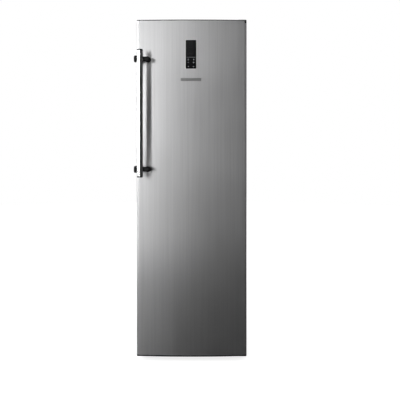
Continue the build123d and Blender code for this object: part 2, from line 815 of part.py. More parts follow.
def filter_drier():
    """Spun copper drier with the stub that comes down out of the foam."""
    body = rod_z(DRIER_R, DRIER_BOTTOM, DRIER_TOP, DRIER_X, DRIER_Y)
    ends = body.edges().filter_by(GeomType.CIRCLE)
    body = chamfer(ends, DRIER_CONE, DRIER_R - DRIER_TUBE_R)
    return body + rod_z(DRIER_TUBE_R, DRIER_TOP, BAY_TOP, DRIER_X, DRIER_Y)


def control_box():
    """Cover of the power board, screwed to the side of the bay."""
    y0 = CONTROL_FRONT
    y1 = CONTROL_REAR
    body = span(CONTROL_LEFT, CONTROL_RIGHT, y0, y1, CONTROL_LOW, CONTROL_HIGH)
    body = rounded(body, Axis.X, CONTROL_ROUND)
    low = CONTROL_LOW + DECK_LIP
    high = CONTROL_HIGH - DECK_LIP
    return body + span(-BAY_HALF, CONTROL_LEFT, y0, y1, low, high)


def mains_inlet():
    """Round bush where the mains lead goes in."""
    x = (CONTROL_LEFT + CONTROL_RIGHT) / 2
    y = CONTROL_REAR
    body = rod_y(INLET_R, y, y + INLET_LONG, x, INLET_Z)
    body = body + rod_y(INLET_FLANGE_R, y, y + INLET_FLANGE, x, INLET_Z)
    return body - rod_y(INLET_BORE, y, y + INLET_LONG, x, INLET_Z)


# ---------------------------------------------------------------- cold air system
def fin_holes(x0, x1):
    holes = []
    for y in TUBE_Y:
        for row in range(TUBE_ROWS):
            z = TUBE_FIRST + TUBE_PITCH * row
            holes.append(rod_x(TUBE_R + SEAT, x0, x1, y, z))
    return holes


def evaporator_fins():
    """Fin pack between two end plates that stand against the liner."""
    pitch = 2 * FIN_HALF / (FIN_COUNT - 1)
    fin = span(0, FIN_THICK, FIN_FRONT, FIN_BACK, FIN_LOW, FIN_HIGH)
    for hole in fin_holes(0, FIN_THICK):
        fin = fin - hole
    plate = span(0, FIN_END, FIN_END_Y, CAV_BACK - SEAT, FIN_END_Z, FIN_HIGH)
    for hole in fin_holes(0, FIN_END):
        plate = plate - hole
    for y in HEATER_Y:
        plate = plate - rod_x(HEATER_R + SEAT, 0, FIN_END, y, HEATER_Z)
    fins = [Pos(-FIN_HALF + pitch * i, 0, 0) * fin for i in range(1, FIN_COUNT - 1)]
    ends = [Pos(-FIN_HALF - FIN_END, 0, 0) * plate, Pos(FIN_HALF, 0, 0) * plate]
    return group(*fins, *ends)


def evaporator_tube():
    """Two serpentine runs, one behind the other."""
    runs = []
    for y in TUBE_Y:
        points = []
        side = -1
        for row in range(TUBE_ROWS):
            z = TUBE_FIRST + TUBE_PITCH * row
            points.append((side * TUBE_REACH, y, z))
            points.append((-side * TUBE_REACH, y, z))
            side = -side
        runs.append(tube(points, TUBE_TURN, TUBE_R))
    return group(*runs)


def defrost_heater():
    """Bent heating rod under the fins."""
    y0, y1 = HEATER_Y
    points = [
        (-TUBE_REACH, y0, HEATER_Z),
        (TUBE_REACH, y0, HEATER_Z),
        (TUBE_REACH, y1, HEATER_Z),
        (-TUBE_REACH, y1, HEATER_Z),
    ]
    return tube(points, (y1 - y0) / 2 - RUN_FIT, HEATER_R)


def fan_motor():
    """Motor on struts in a shroud that is screwed to the duct cover."""
    back = DUCT_Y + DUCT_THICK
    high = FAN_Z + FAN_PLATE
    front = back + FAN_PLATE_THICK
    plate = span(-FAN_PLATE, FAN_PLATE, back, front, FAN_Z - FAN_PLATE, high)
    outer_r = FAN_RING_R + FAN_RING_WALL
    ring = rod_y(outer_r, back, FAN_RING_BACK, 0, FAN_Z)
    body = plate + ring - rod_y(FAN_RING_R, back, FAN_RING_BACK, 0, FAN_Z)
    for i in range(FAN_STRUTS):
        strut = span(
            0,
            outer_r - FAN_RING_WALL / 2,
            FAN_STRUT_FRONT,
            FAN_STRUT_BACK,
            -FAN_STRUT / 2,
            FAN_STRUT / 2,
        )
        body = body + Pos(0, 0, FAN_Z) * Rot(0, 90 + 360 / FAN_STRUTS * i, 0) * strut
    body = body + rod_y(FAN_MOTOR_R, FAN_MOTOR_FRONT, FAN_MOTOR_BACK, 0, FAN_Z)
    return body + rod_y(FAN_SHAFT_R, FAN_SHAFT_TIP, FAN_MOTOR_FRONT, 0, FAN_Z)


def fan_rotor():
    middle = (FAN_HUB_FRONT + FAN_HUB_BACK) / 2
    rotor = rod_y(FAN_HUB_R, FAN_HUB_FRONT, FAN_HUB_BACK, 0, FAN_Z)
    for i in range(FAN_BLADES):
        length = FAN_TIP_R - FAN_HUB_R / 2
        blade = Box(length, FAN_BLADE, FAN_CHORD)
        blade = rounded(blade, Axis.Y, FAN_CHORD_ROUND)
        blade = Pos(FAN_HUB_R / 2 + length / 2, 0, 0) * Rot(FAN_BLADE_ANGLE, 0, 0) * blade
        rotor = rotor + Pos(0, middle, FAN_Z) * Rot(0, 360 / FAN_BLADES * i, 0) * blade
    bore_r = FAN_SHAFT_R + RUN_FIT
    return rotor - rod_y(bore_r, FAN_HUB_FRONT, FAN_HUB_BACK, 0, FAN_Z)


def duct_cover():
    """Rear wall panel of the cavity with its air slots and the fan grille."""
    half = CAV_HALF - DUCT_GAP
    low = STEP_Z + DUCT_GAP
    high = CAV_CEIL - DUCT_GAP
    y1 = DUCT_Y + DUCT_THICK
    cover = span(-half, half, DUCT_Y, y1 + DUCT_RETURN, low, high)
    cover = cover - span(
        -half + DUCT_THICK, half - DUCT_THICK, y1, y1 + DUCT_RETURN, low, high
    )
    corners = [e for e in cover.edges().filter_by(Axis.Y) if abs(e.center().X) > half - 1]
    upper = [e for e in corners if e.center().Z > high - 1]
    cover = chamfer(upper, CAV_ROUND)
    for z in SHELF_Z[1:] + [CAV_CEIL]:
        for x in (-SLOT_PITCH, 0, SLOT_PITCH):
            slot = span(
                x - SLOT_WIDE / 2,
                x + SLOT_WIDE / 2,
                DUCT_Y,
                y1,
                z - SLOT_DROP - SLOT_TALL,
                z - SLOT_DROP,
            )
            cover = cover - slot
    for i in range(FAN_GRILLE_SLOTS):
        dz = FAN_GRILLE_PITCH * (i - (FAN_GRILLE_SLOTS - 1) / 2)
        reach = math.sqrt(FAN_GRILLE_R**2 - dz**2)
        low = FAN_Z + dz - SLOT_TALL / 2
        cover = cover - span(-reach, reach, DUCT_Y, y1, low, low + SLOT_TALL)
    return cover


def drain_tube():
    """Spout from the step down to the evaporating pan."""
    body = rod_z(DRAIN_R, DRAIN_END, STEP_Z, DRAIN_X, DRAIN_Y)
    body = body + rod_z(DRAIN_LIP_R, STEP_Z, STEP_Z + DRAIN_LIP, DRAIN_X, DRAIN_Y)
    bore_r = DRAIN_R - DRAIN_WALL
    return body - rod_z(bore_r, DRAIN_END, STEP_Z + DRAIN_LIP, DRAIN_X, DRAIN_Y)


def interior_lamp():
    y1 = LAMP_Y + LAMP_DEEP
    lens = span(-LAMP_HALF, LAMP_HALF, LAMP_Y, y1, CAV_CEIL - LAMP_TALL, CAV_CEIL)
    return fillet(lens.edges().group_by(Axis.Z)[0], LAMP_ROUND)


# ---------------------------------------------------------------- shelves, flaps and drawers
def shelf_supports():
    bars = []
    for z in SHELF_Z:
        high = z - GLASS
        rear = STEP_Y if z == LOW_SHELF else SHELF_BACK - LEDGE_SHORT
        bar = span(
            CAV_HALF - LEDGE_IN,
            CAV_HALF,
            SHELF_FRONT + LEDGE_SHORT,
            rear,
            high - LEDGE_TALL,
            high,
        )
        bars = bars + [bar, mirrored(bar)]
    return group(*bars)


def glass_shelves():
    plates = []
    for z in SHELF_Z:
        plate = span(-GLASS_HALF, GLASS_HALF, SHELF_FRONT, SHELF_BACK, z - GLASS, z)
        plates.append(plate)
    return group(*plates)


def shelf_trims():
    trims = []
    for z in SHELF_Z:
        trim = span(
            -GLASS_HALF,
            GLASS_HALF,
            SHELF_FRONT - TRIM_DEPTH,
            SHELF_FRONT,
            z - TRIM_DOWN,
            z - TRIM_UP,
        )
        trims.append(rounded(trim, Axis.X, TRIM_ROUND))
    return group(*trims)


def flap_pivot(floor):
    """Height of a flap's pins above the shelf it closes."""
    return floor + FLAP_TIER - FLAP_PIVOT_DROP


def flap_hinges():
    """Bearing blocks on the liner's side walls."""
    blocks = []
    y = FLAP_FRONT + FLAP_THICK / 2
    for floor in FLAP_FLOORS:
        z = flap_pivot(floor)
        block = span(
            CAV_HALF - FLAP_BLOCK_IN,
            CAV_HALF,
            y - FLAP_BLOCK / 2,
            y + FLAP_BLOCK / 2,
            z - FLAP_BLOCK / 2,
            z + FLAP_BLOCK / 2,
        )
        block = rounded(block, Axis.X, FLAP_BLOCK_ROUND)
        block = block - rod_x(FLAP_PIN_R + RUN_FIT, CAV_HALF - FLAP_BLOCK_IN, CAV_HALF, y, z)
        blocks = blocks + [block, mirrored(block)]
    return group(*blocks)


def flap(floor):
    """Clear flap that hangs on two pins, with a lip to lift it by."""
    pivot = flap_pivot(floor)
    low = floor + FLAP_CLEAR
    y0 = FLAP_FRONT
    y1 = FLAP_FRONT + FLAP_THICK
    panel = span(-FLAP_HALF, FLAP_HALF, y0, y1, low, pivot + FLAP_OVER)
    panel = rounded(panel, Axis.Y, FLAP_OVER)
    lip = span(-FLAP_LIP_HALF, FLAP_LIP_HALF, y0 - FLAP_LIP_DEEP, y0, low, low + FLAP_LIP_TALL)
    reach = FLAP_HALF + FLAP_PIN_LONG
    pins = rod_x(FLAP_PIN_R, -reach, reach, (y0 + y1) / 2, pivot)
    return panel + lip + pins


def drawer(floor, tier, back):
    """Moulded clear drawer: basket with a rim, and a wider front with a grip slot."""
    low = floor + DRAWER_LIFT
    high = floor + tier - DRAWER_HEADROOM
    top = floor + tier - PANEL_HEADROOM
    behind = DRAWER_FRONT + PANEL_THICK
    basket = span(-DRAWER_HALF, DRAWER_HALF, behind, back, low, high)
    rim_half = DRAWER_HALF + RIM
    rim = span(-rim_half, rim_half, behind, back + RIM, high - DRAWER_WALL, high)
    body = rounded(basket, Axis.Z, DRAWER_ROUND) + rounded(rim, Axis.Z, DRAWER_ROUND)
    inside = span(
        -DRAWER_HALF + DRAWER_WALL,
        DRAWER_HALF - DRAWER_WALL,
        behind,
        back - DRAWER_WALL,
        low + DRAWER_WALL,
        high,
    )
    inside_edges = inside.edges().filter_by(Axis.Z)
    rear = [e for e in inside_edges if e.center().Y > back - DRAWER_ROUND]
    panel = span(-PANEL_HALF, PANEL_HALF, DRAWER_FRONT, behind, low, top)
    panel = rounded(panel, Axis.Y, PANEL_ROUND)
    grip = span(
        -GRIP_WIDE / 2,
        GRIP_WIDE / 2,
        DRAWER_FRONT,
        behind,
        top - GRIP_DROP - GRIP_TALL,
        top - GRIP_DROP,
    )
    grip = rounded(grip, Axis.Y, GRIP_ROUND)
    return body - fillet(rear, DRAWER_ROUND - DRAWER_WALL) + panel - grip


# ---------------------------------------------------------------- hinges
def hinge_plate(z0, z1):
    """Flat arm from the cabinet to the hinge axis."""
    right = HALF - SHEET
    arm = span(HINGE_ARM_LEFT, right, AXIS_Y - HINGE_NOSE, HINGE_REAR, z0, z1)
    arm = rounded(arm, Axis.Z, HINGE_ROUND)
    for dx, dy in HINGE_SCREWS:
        arm = arm - rod_z(HINGE_SCREW_R + SEAT, z0, z1, AXIS_X + dx, AXIS_Y + dy)
    return arm


def top_hinge():
    plate = hinge_plate(CAB_TOP, CAB_TOP + HINGE_PLATE)
    return plate + rod_z(PIN_R, DOOR_TOP - PIN_IN_DOOR + PIN_TIP_GAP, CAB_TOP, AXIS_X, AXIS_Y)


def bottom_hinge():
    """Lower bracket: plate, collar that carries the door, and pin."""
    high = RAIL_BOTTOM
    plate = hinge_plate(high - HINGE_PLATE, high)
    collar = rod_z(HINGE_COLLAR_R, high, DOOR_BOTTOM - SEAT, AXIS_X, AXIS_Y)
    return plate + collar + rod_z(PIN_R, high, DOOR_BOTTOM + PIN_IN_DOOR, AXIS_X, AXIS_Y)


def hinge_screws():
    screws = []
    top = CAB_TOP + HINGE_PLATE
    low = RAIL_BOTTOM - HINGE_PLATE
    for dx, dy in HINGE_SCREWS:
        x = AXIS_X + dx
        y = AXIS_Y + dy
        upper = rod_z(HINGE_SCREW_R, CAB_TOP, top, x, y)
        upper = upper + rod_z(HINGE_HEAD_R, top, top + HINGE_HEAD, x, y)
        lower = rod_z(HINGE_SCREW_R, low, RAIL_BOTTOM, x, y)
        lower = lower + rod_z(HINGE_HEAD_R, low - HINGE_HEAD, low, x, y)
        screws = screws + [upper, lower]
    return group(*screws)


def hinge_cover():
    """Hollow cap over the screws of the top hinge."""
    high = CAB_TOP + COVER_TALL
    right = HALF
    cap = span(COVER_LEFT, right, COVER_FRONT, COVER_REAR, CAB_TOP, high)
    cap = rounded(cap, Axis.Z, COVER_ROUND)
    cap = fillet(cap.edges().group_by(Axis.Z)[-1], COVER_ROUND / 2)
    inside = span(
        COVER_LEFT + COVER_WALL,
        right - COVER_WALL,
        COVER_FRONT + COVER_WALL,
        COVER_REAR - COVER_WALL,
        CAB_TOP,
        high - COVER_WALL,
    )
    slot = span(
        HINGE_ARM_LEFT - SEAT,
        HALF - SHEET + SEAT,
        COVER_FRONT,
        COVER_FRONT + COVER_WALL,
        CAB_TOP,
        CAB_TOP + HINGE_PLATE + SEAT,
    )
    side = span(
        right - COVER_WALL,
        HALF - SHEET + SEAT,
        COVER_FRONT,
        HINGE_REAR + SEAT,
        CAB_TOP,
        CAB_TOP + HINGE_PLATE + SEAT,
    )
    return cap - inside - slot - side


# ---------------------------------------------------------------- door
def door_outline(inset, back):
    """Plan of the door: a bowed front that falls away faster near its edges."""
    join = math.asin(BOW_X / BOW_R)
    bow_r = BOW_R - inset
    edge_r = EDGE_R - inset
    centre_y = CROWN_Y + BOW_R
    edge_cx = (BOW_R - EDGE_R) * math.sin(join)
    edge_cy = centre_y - (BOW_R - EDGE_R) * math.cos(join)
    side = HALF - inset
    end = math.asin((side - edge_cx) / edge_r)
    half = (join + end) / 2

    def on_edge(angle, sign):
        x = edge_cx + edge_r * math.sin(angle)
        return (sign * x, edge_cy - edge_r * math.cos(angle))

    curves = [
        ThreePointArc(on_edge(join, -1), (0, centre_y - bow_r), on_edge(join, 1)),
        ThreePointArc(on_edge(join, 1), on_edge(half, 1), on_edge(end, 1)),
        Line(on_edge(end, 1), (side, back)),
        Line((side, back), (-side, back)),
        Line((-side, back), on_edge(end, -1)),
        ThreePointArc(on_edge(end, -1), on_edge(half, -1), on_edge(join, -1)),
    ]
    outline = make_face(curves)
    corners = [v for v in outline.vertices() if abs(v.X) > side - 0.01 and v.Y < back - 1]
    return fillet(corners, CORNER_R - inset)


def door_block(inset, back, z0, z1):
    return extrude(Pos(0, 0, z0) * door_outline(inset, back), z1 - z0, dir=(0, 0, 1))


def display_pocket(grow, deep):
    """Upright rounded opening in the door's front for the display."""
    x0 = DISPLAY_X - DISPLAY_WIDE / 2 - grow
    x1 = DISPLAY_X + DISPLAY_WIDE / 2 + grow
    y0 = CROWN_Y - BEZEL_PROUD * 3
    z0 = DISPLAY_BOTTOM - grow
    z1 = DISPLAY_TOP + grow
    return rounded(span(x0, x1, y0, CROWN_Y + deep, z0, z1), Axis.Y, DISPLAY_ROUND + grow)


def door_skin():
    """Stainless front sheet, folded round the sides and back in."""
    sheet = door_block(0, DOOR_BACK, SKIN_BOTTOM, SKIN_TOP)
    sheet = sheet - door_block(SHEET, DOOR_LINER_Y, SKIN_BOTTOM, SKIN_TOP)
    open_half = HALF - RETURN
    sheet = sheet - span(
        -open_half, open_half, DOOR_LINER_Y, DOOR_BACK, SKIN_BOTTOM, SKIN_TOP
    )
    return sheet - display_pocket(SLEEVE + SEAT, SLEEVE_DEEP)


def door_cap(z0, z1, plug_z0, plug_z1, pin_z0, pin_z1):
    slab = door_block(0, DOOR_BACK, z0, z1)
    slab = slab + door_block(PLUG_INSET, DOOR_LINER_IN - SEAT, plug_z0, plug_z1)
    return slab - rod_z(BUSH_R + SEAT, pin_z0, pin_z1, AXIS_X, AXIS_Y)


def door_top_cap():
    cap = door_cap(SKIN_TOP, DOOR_TOP, DOOR_FOAM_TOP, SKIN_TOP, DOOR_FOAM_TOP, DOOR_TOP)
    return fillet(cap.edges().group_by(Axis.Z)[-1], CAP_ROUND)


def door_bottom_cap():
    cap = door_cap(
        DOOR_BOTTOM, SKIN_BOTTOM, SKIN_BOTTOM, DOOR_FOAM_BOTTOM, DOOR_BOTTOM, DOOR_FOAM_BOTTOM
    )
    return fillet(cap.edges().group_by(Axis.Z)[0], CAP_ROUND)


def dike_bars(inset, y1):
    """The four bars of the liner's raised frame, as separate boxes."""
    half = DIKE_HALF - inset
    wide = DIKE_WIDE - 2 * inset
    low = DIKE_BOTTOM + inset
    high = DIKE_TOP - inset
    y0 = DOOR_LINER_IN
    right = span(half - wide, half, y0, y1, low, high)
    return [
        right,
        mirrored(right),
        span(-half + wide, half - wide, y0, y1, low, low + wide),
        span(-half + wide, half - wide, y0, y1, high - wide, high),
    ]


def door_insulation():
    """Foam slab behind the skin, and the foam in the liner's raised frame."""
    slab = door_block(SHEET, DOOR_LINER_IN, DOOR_FOAM_BOTTOM, DOOR_FOAM_TOP)
    slab = slab - display_pocket(SLEEVE + SEAT, SLEEVE_DEEP + SEAT)
    return group(slab, *dike_bars(LINER, DIKE_Y - LINER))


def door_liner():
    """Moulded inner panel with a raised frame that reaches into the cabinet."""
    half = HALF - PLUG_INSET
    plate = span(-half, half, DOOR_LINER_IN, DOOR_LINER_Y, SKIN_BOTTOM, SKIN_TOP)
    raised = frame(DIKE_HALF, DIKE_BOTTOM, DIKE_TOP, DIKE_WIDE, DOOR_LINER_IN, DIKE_Y)
    raised = fillet(raised.edges().group_by(Axis.Y)[-1], DIKE_ROUND)
    liner = plate + raised
    for bar in dike_bars(LINER, DIKE_Y - LINER):
        liner = liner - bar
    return liner


def door_gasket():
    """Magnetic gasket, just clear of the cabinet's flange."""
    half = HALF - GASKET_INSET
    low = DOOR_BOTTOM + GASKET_INSET
    high = DOOR_TOP - GASKET_INSET
    ring = frame(half, low, high, GASKET_WIDE, DOOR_LINER_Y, CAB_FRONT - SEAT)
    return fillet(ring.edges().group_by(Axis.Y)[-1], GASKET_ROUND)


def door_bushes():
    """Plastic bearings for the two hinge pins."""
    top = rod_z(BUSH_R, DOOR_FOAM_TOP, DOOR_TOP, AXIS_X, AXIS_Y)
    top = top + rod_z(BUSH_LIP_R, DOOR_TOP, DOOR_TOP + BUSH_LIP, AXIS_X, AXIS_Y)
    bottom = rod_z(BUSH_R, DOOR_BOTTOM, DOOR_FOAM_BOTTOM, AXIS_X, AXIS_Y)
    bore_r = PIN_R + RUN_FIT
    bore = rod_z(bore_r, 0, CAB_TOP, AXIS_X, AXIS_Y)
    return group(top - bore, bottom - bore)


# ---------------------------------------------------------------- handle
def bar_section(inset):
    """Section of the handle bar: a ridge in front, nearer to its right, and a bevelled back."""
    left = BAR_X - BAR_WIDE / 2
    right = BAR_X + BAR_WIDE / 2
    ridge = (BAR_X + BAR_RIDGE, BAR_FRONT)
    outline = Polyline(
        ridge,
        (left, BAR_FRONT + BAR_LEFT_FALL),
        (left, BAR_FRONT + BAR_LEFT_FALL + BAR_LEFT_SIDE),
        (left + BAR_BACK_BEVEL, BAR_BACK),
        (right, BAR_BACK),
        (right, BAR_FRONT + BAR_RIGHT_FALL),
        ridge,
    )
    shape = make_face(outline)
    shape = fillet(shape.vertices(), BAR_EDGE_ROUND)
    return offset(shape, -inset) if inset else shape


def handle_bar():
    low = BAR_BOTTOM + BAR_CAP
    length = BAR_TOP - BAR_BOTTOM - 2 * BAR_CAP
    return Pos(0, 0, low) * extrude(bar_section(0) - bar_section(BAR_WALL), length)


def handle_end_caps():
    lower = extrude(bar_section(0), BAR_CAP)
    lower = fillet(lower.edges().group_by(Axis.Z)[0], BAR_CAP_ROUND)
    right = BAR_X + BAR_WIDE / 2
    envelope = span(right - BAR_WIDE, right, BAR_FRONT, BAR_BACK, 0, 2 * BAR_CAP)
    corners = envelope.edges().filter_by(Axis.Y)
    lower_right = [e for e in corners if e.center().X > BAR_X and e.center().Z < BAR_CAP]
    lower = lower & fillet(lower_right, BAR_CAP_CORNER)
    plug = extrude(bar_section(BAR_WALL + SEAT), BAR_CAP + BAR_CAP_PLUG)
    lower = lower + plug
    upper = mirror(lower, about=Plane.XY)
    return group(Pos(0, 0, BAR_BOTTOM) * lower, Pos(0, 0, BAR_TOP) * upper)


def handle_bracket(z):
    """Black elbow: neck on the door, arm behind the bar, knob beside it."""
    neck = rod_y(NECK_R, ARM_Y, CROWN_Y + NECK_R, NECK_X, z)
    foot_y = CROWN_Y - NECK_FOOT_TALL + (NECK_X**2) / (2 * BOW_R)
    neck = neck + rod_y(NECK_FOOT_R, foot_y, CROWN_Y + NECK_R, NECK_X, z)
    elbow = Pos(NECK_X, ARM_Y, z) * Sphere(NECK_R)
    arm = rod_x(NECK_R, KNOB_LEFT + KNOB_CHAMFER, NECK_X, ARM_Y, z)
    knob = rod_x(KNOB_R, KNOB_LEFT, KNOB_RIGHT, ARM_Y, z)
    knob = chamfer(knob.edges().group_by(Axis.X)[0], KNOB_CHAMFER)
    saddle = span(
        BAR_X - SADDLE_WIDE / 2,
        BAR_X + SADDLE_WIDE / 2,
        BAR_BACK,
        ARM_Y,
        z - SADDLE_TALL / 2,
        z + SADDLE_TALL / 2,
    )
    bracket = neck + elbow + arm + knob + saddle
    bracket = bracket - door_block(-SKIN_FIT, DOOR_BACK, z - BAR_WIDE, z + BAR_WIDE)
    screw_low = z - NECK_R
    screw_high = screw_low + SET_SCREW_SUNK + SET_SCREW_LONG
    hole_r = SET_SCREW_R + SEAT
    return bracket - rod_z(hole_r, screw_low, screw_high, NECK_X, SET_SCREW_Y)


def handle_brackets():
    return group(*[handle_bracket(z) for z in BRACKET_Z])


def handle_screws():
    """Socket set screws that clamp the brackets to the door."""
    screws = []
    for z in BRACKET_Z:
        low = z - NECK_R + SET_SCREW_SUNK
        screw = rod_z(SET_SCREW_R, low, low + SET_SCREW_LONG, NECK_X, SET_SCREW_Y)
        socket = Pos(NECK_X, SET_SCREW_Y, low) * RegularPolygon(HEX_R, 6)
        screws.append(screw - extrude(socket, HEX_DEEP))
    return group(*screws)


# ---------------------------------------------------------------- display and nameplate
def display_bezel():
    """Slim rim on the skin with a sleeve that goes into the door."""
    x = DISPLAY_WIDE / 2 + BEZEL
    rim = span(
        DISPLAY_X - x,
        DISPLAY_X + x,
        CROWN_Y - BEZEL_PROUD,
        CROWN_Y,
        DISPLAY_BOTTOM - BEZEL,
        DISPLAY_TOP + BEZEL,
    )
    rim = rounded(rim, Axis.Y, DISPLAY_ROUND + BEZEL)
    rim = fillet(rim.edges().group_by(Axis.Y)[0], BEZEL_ROUND)
    sleeve = display_pocket(SLEEVE, SLEEVE_DEEP)
    sleeve = sleeve - span(-HALF, HALF, CROWN_Y - HALF, CROWN_Y, DOOR_BOTTOM, DOOR_TOP)
    return rim + sleeve - display_pocket(0, SLEEVE_DEEP - SLEEVE)


def display_part(inset, y0, y1):
    x = DISPLAY_WIDE / 2 - inset
    block = span(
        DISPLAY_X - x, DISPLAY_X + x, y0, y1, DISPLAY_BOTTOM + inset, DISPLAY_TOP - inset
    )
    return rounded(block, Axis.Y, max(DISPLAY_ROUND - inset, BOARD_ROUND))


def display_glass():
    front = CROWN_Y - SCREEN_PROUD
    return display_part(SEAT, front, front + SCREEN)


def display_board():
    """Circuit board right behind the glass."""
    front = CROWN_Y - SCREEN_PROUD + SCREEN + SEAT
    return display_part(BOARD_INSET, front, front + BOARD)


def nameplate():
    """Plain plate that follows the curve of the skin."""
    strip = door_block(-PLATE_THICK - SKIN_FIT, DOOR_BACK, PLATE_BOTTOM, PLATE_TOP)
    strip = strip - door_block(-SKIN_FIT, DOOR_BACK, PLATE_BOTTOM, PLATE_TOP)
    window = span(
        DISPLAY_X - PLATE_WIDE / 2,
        DISPLAY_X + PLATE_WIDE / 2,
        CROWN_Y - BAR_THICK,
        CROWN_Y + BAR_THICK,
        PLATE_BOTTOM,
        PLATE_TOP,
    )
    return strip & rounded(window, Axis.Y, PLATE_ROUND)


# ---------------------------------------------------------------- all nodes
NODES = {
    "outer_shell": outer_shell(),
    "cabinet_insulation": cabinet_insulation(),
    "inner_liner": inner_liner(),
    "back_panel": back_panel(),
    "bay_panel": bay_panel(),
    "rear_spacers": rear_spacers(),
    "base_rail": base_rail(),
    "foot_left": foot(-FOOT_X),
    "foot_right": foot(FOOT_X),
    "compressor_deck": compressor_deck(),
    "roller_brackets": group(roller_bracket(-ROLLER_X), roller_bracket(ROLLER_X)),
    "roller_axles": group(roller_axle(-ROLLER_X), roller_axle(ROLLER_X)),
    "roller_left": roller(-ROLLER_X),
    "roller_right": roller(ROLLER_X),
    "compressor": compressor(),
    "compressor_mounts": compressor_mounts(),
    "terminal_cover": terminal_cover(),
    "evaporating_pan": evaporating_pan(),
    "refrigerant_tubes": refrigerant_tubes(),
    "filter_drier": filter_drier(),
    "control_box": control_box(),
    "mains_inlet": mains_inlet(),
    "evaporator_fins": evaporator_fins(),
    "evaporator_tube": evaporator_tube(),
    "defrost_heater": defrost_heater(),
    "fan_motor": fan_motor(),
    "fan_rotor": fan_rotor(),
    "duct_cover": duct_cover(),
    "drain_tube": drain_tube(),
    "interior_lamp": interior_lamp(),
    "shelf_supports": shelf_supports(),
    "glass_shelves": glass_shelves(),
    "shelf_trims": shelf_trims(),
    "flap_hinges": flap_hinges(),
    "top_hinge": top_hinge(),
    "bottom_hinge": bottom_hinge(),
    "hinge_screws": hinge_screws(),
    "hinge_cover": hinge_cover(),
    "door_skin": door_skin(),
    "door_top_cap": door_top_cap(),
    "door_bottom_cap": door_bottom_cap(),
    "door_insulation": door_insulation(),
    "door_liner": door_liner(),
    "door_gasket": door_gasket(),
    "door_bushes": door_bushes(),
    "handle_bar": handle_bar(),
    "handle_end_caps": handle_end_caps(),
    "handle_brackets": handle_brackets(),
    "handle_screws": handle_screws(),
    "display_bezel": display_bezel(),
    "display_glass": display_glass(),
    "display_board": display_board(),
    "nameplate": nameplate(),
}
NODES["flap_upper"] = flap(FLAP_FLOORS[1])
NODES["flap_lower"] = flap(FLAP_FLOORS[0])
for i in range(DRAWER_TIERS):
    floor_z = SHELF_Z[DRAWER_TIERS - 1 - i]
    NODES[f"drawer_{i + 1}"] = drawer(floor_z, DRAWER_TIER, DRAWER_BACK)
NODES[f"drawer_{DRAWER_TIERS + 1}"] = drawer(CAV_FLOOR, LOW_TIER, DRAWER_BACK_LOW)

for name, shape in NODES.items():
    export_step(shape, f"parts/{name}.step")
    print(name, len(shape.solids()), round(sum(s.volume for s in shape.solids()) / 1000, 1))
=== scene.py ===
import math

import bmesh
import bpy
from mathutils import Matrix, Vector


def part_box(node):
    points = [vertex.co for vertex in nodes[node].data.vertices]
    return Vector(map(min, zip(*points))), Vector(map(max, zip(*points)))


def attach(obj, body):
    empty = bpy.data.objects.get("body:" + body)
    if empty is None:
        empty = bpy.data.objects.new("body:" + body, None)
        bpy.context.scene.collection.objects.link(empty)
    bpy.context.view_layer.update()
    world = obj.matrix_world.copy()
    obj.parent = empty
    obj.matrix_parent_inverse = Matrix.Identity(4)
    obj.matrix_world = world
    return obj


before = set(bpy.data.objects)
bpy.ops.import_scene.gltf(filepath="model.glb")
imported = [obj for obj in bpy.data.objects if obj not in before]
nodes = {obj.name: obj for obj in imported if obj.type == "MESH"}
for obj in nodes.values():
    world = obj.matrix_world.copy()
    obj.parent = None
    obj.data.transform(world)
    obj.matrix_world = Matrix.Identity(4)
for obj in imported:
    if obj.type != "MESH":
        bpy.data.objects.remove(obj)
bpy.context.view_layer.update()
scene = bpy.context.scene

# Lengths are in metres, as in the frame: X to the right, Y to the back, Z up.

# ---------------------------------------------------------------- camera
LENS = 52.48
SENSOR = 36.0
CAMERA_SHIFT = (0.02073, -0.12975)
CAMERA_AT = (0.0, -3.448, 1.156)


def make_camera():
    """The photograph's straight-on view, from a little above the middle of the door."""
    data = bpy.data.cameras.new("camera")
    data.lens = LENS
    data.sensor_width = SENSOR
    data.shift_x, data.shift_y = CAMERA_SHIFT
    camera = bpy.data.objects.new("camera", data)
    camera.location = CAMERA_AT
    camera.rotation_euler = (math.radians(90), 0.0, 0.0)
    scene.collection.objects.link(camera)
    scene.camera = camera


# ---------------------------------------------------------------- node helpers
class Net:
    """A node tree and the steps that materials, floor and world are made of."""

    def __init__(self, tree):
        self.tree = tree

    def add(self, kind, **settings):
        node = self.tree.nodes.new("ShaderNode" + kind)
        for key, value in settings.items():
            setattr(node, key, value)
        return node

    def feed(self, value, socket):
        """Another node's output is linked to the socket, and anything else is set on it."""
        if isinstance(value, bpy.types.NodeSocket):
            self.tree.links.new(value, socket)
        else:
            socket.default_value = value

    def maths(self, how, a, b):
        node = self.add("Math", operation=how)
        self.feed(a, node.inputs[0])
        self.feed(b, node.inputs[1])
        return node.outputs[0]

    def times(self, a, b):
        return self.maths("MULTIPLY", a, b)

    def plus(self, a, b):
        return self.maths("ADD", a, b)

    def minus(self, a, b):
        return self.maths("SUBTRACT", a, b)

    def between(self, fac, low, high, start=0.3, end=0.7, curve="LINEAR"):
        """A number that goes from low to high as fac goes from start to end."""
        node = self.add("MapRange", interpolation_type=curve)
        node.inputs["From Min"].default_value = start
        node.inputs["From Max"].default_value = end
        node.inputs["To Min"].default_value = low
        node.inputs["To Max"].default_value = high
        self.feed(fac, node.inputs["Value"])
        return node.outputs["Result"]

    def axis(self, vector, name):
        node = self.add("SeparateXYZ")
        self.feed(vector, node.inputs[0])
        return node.outputs[name]


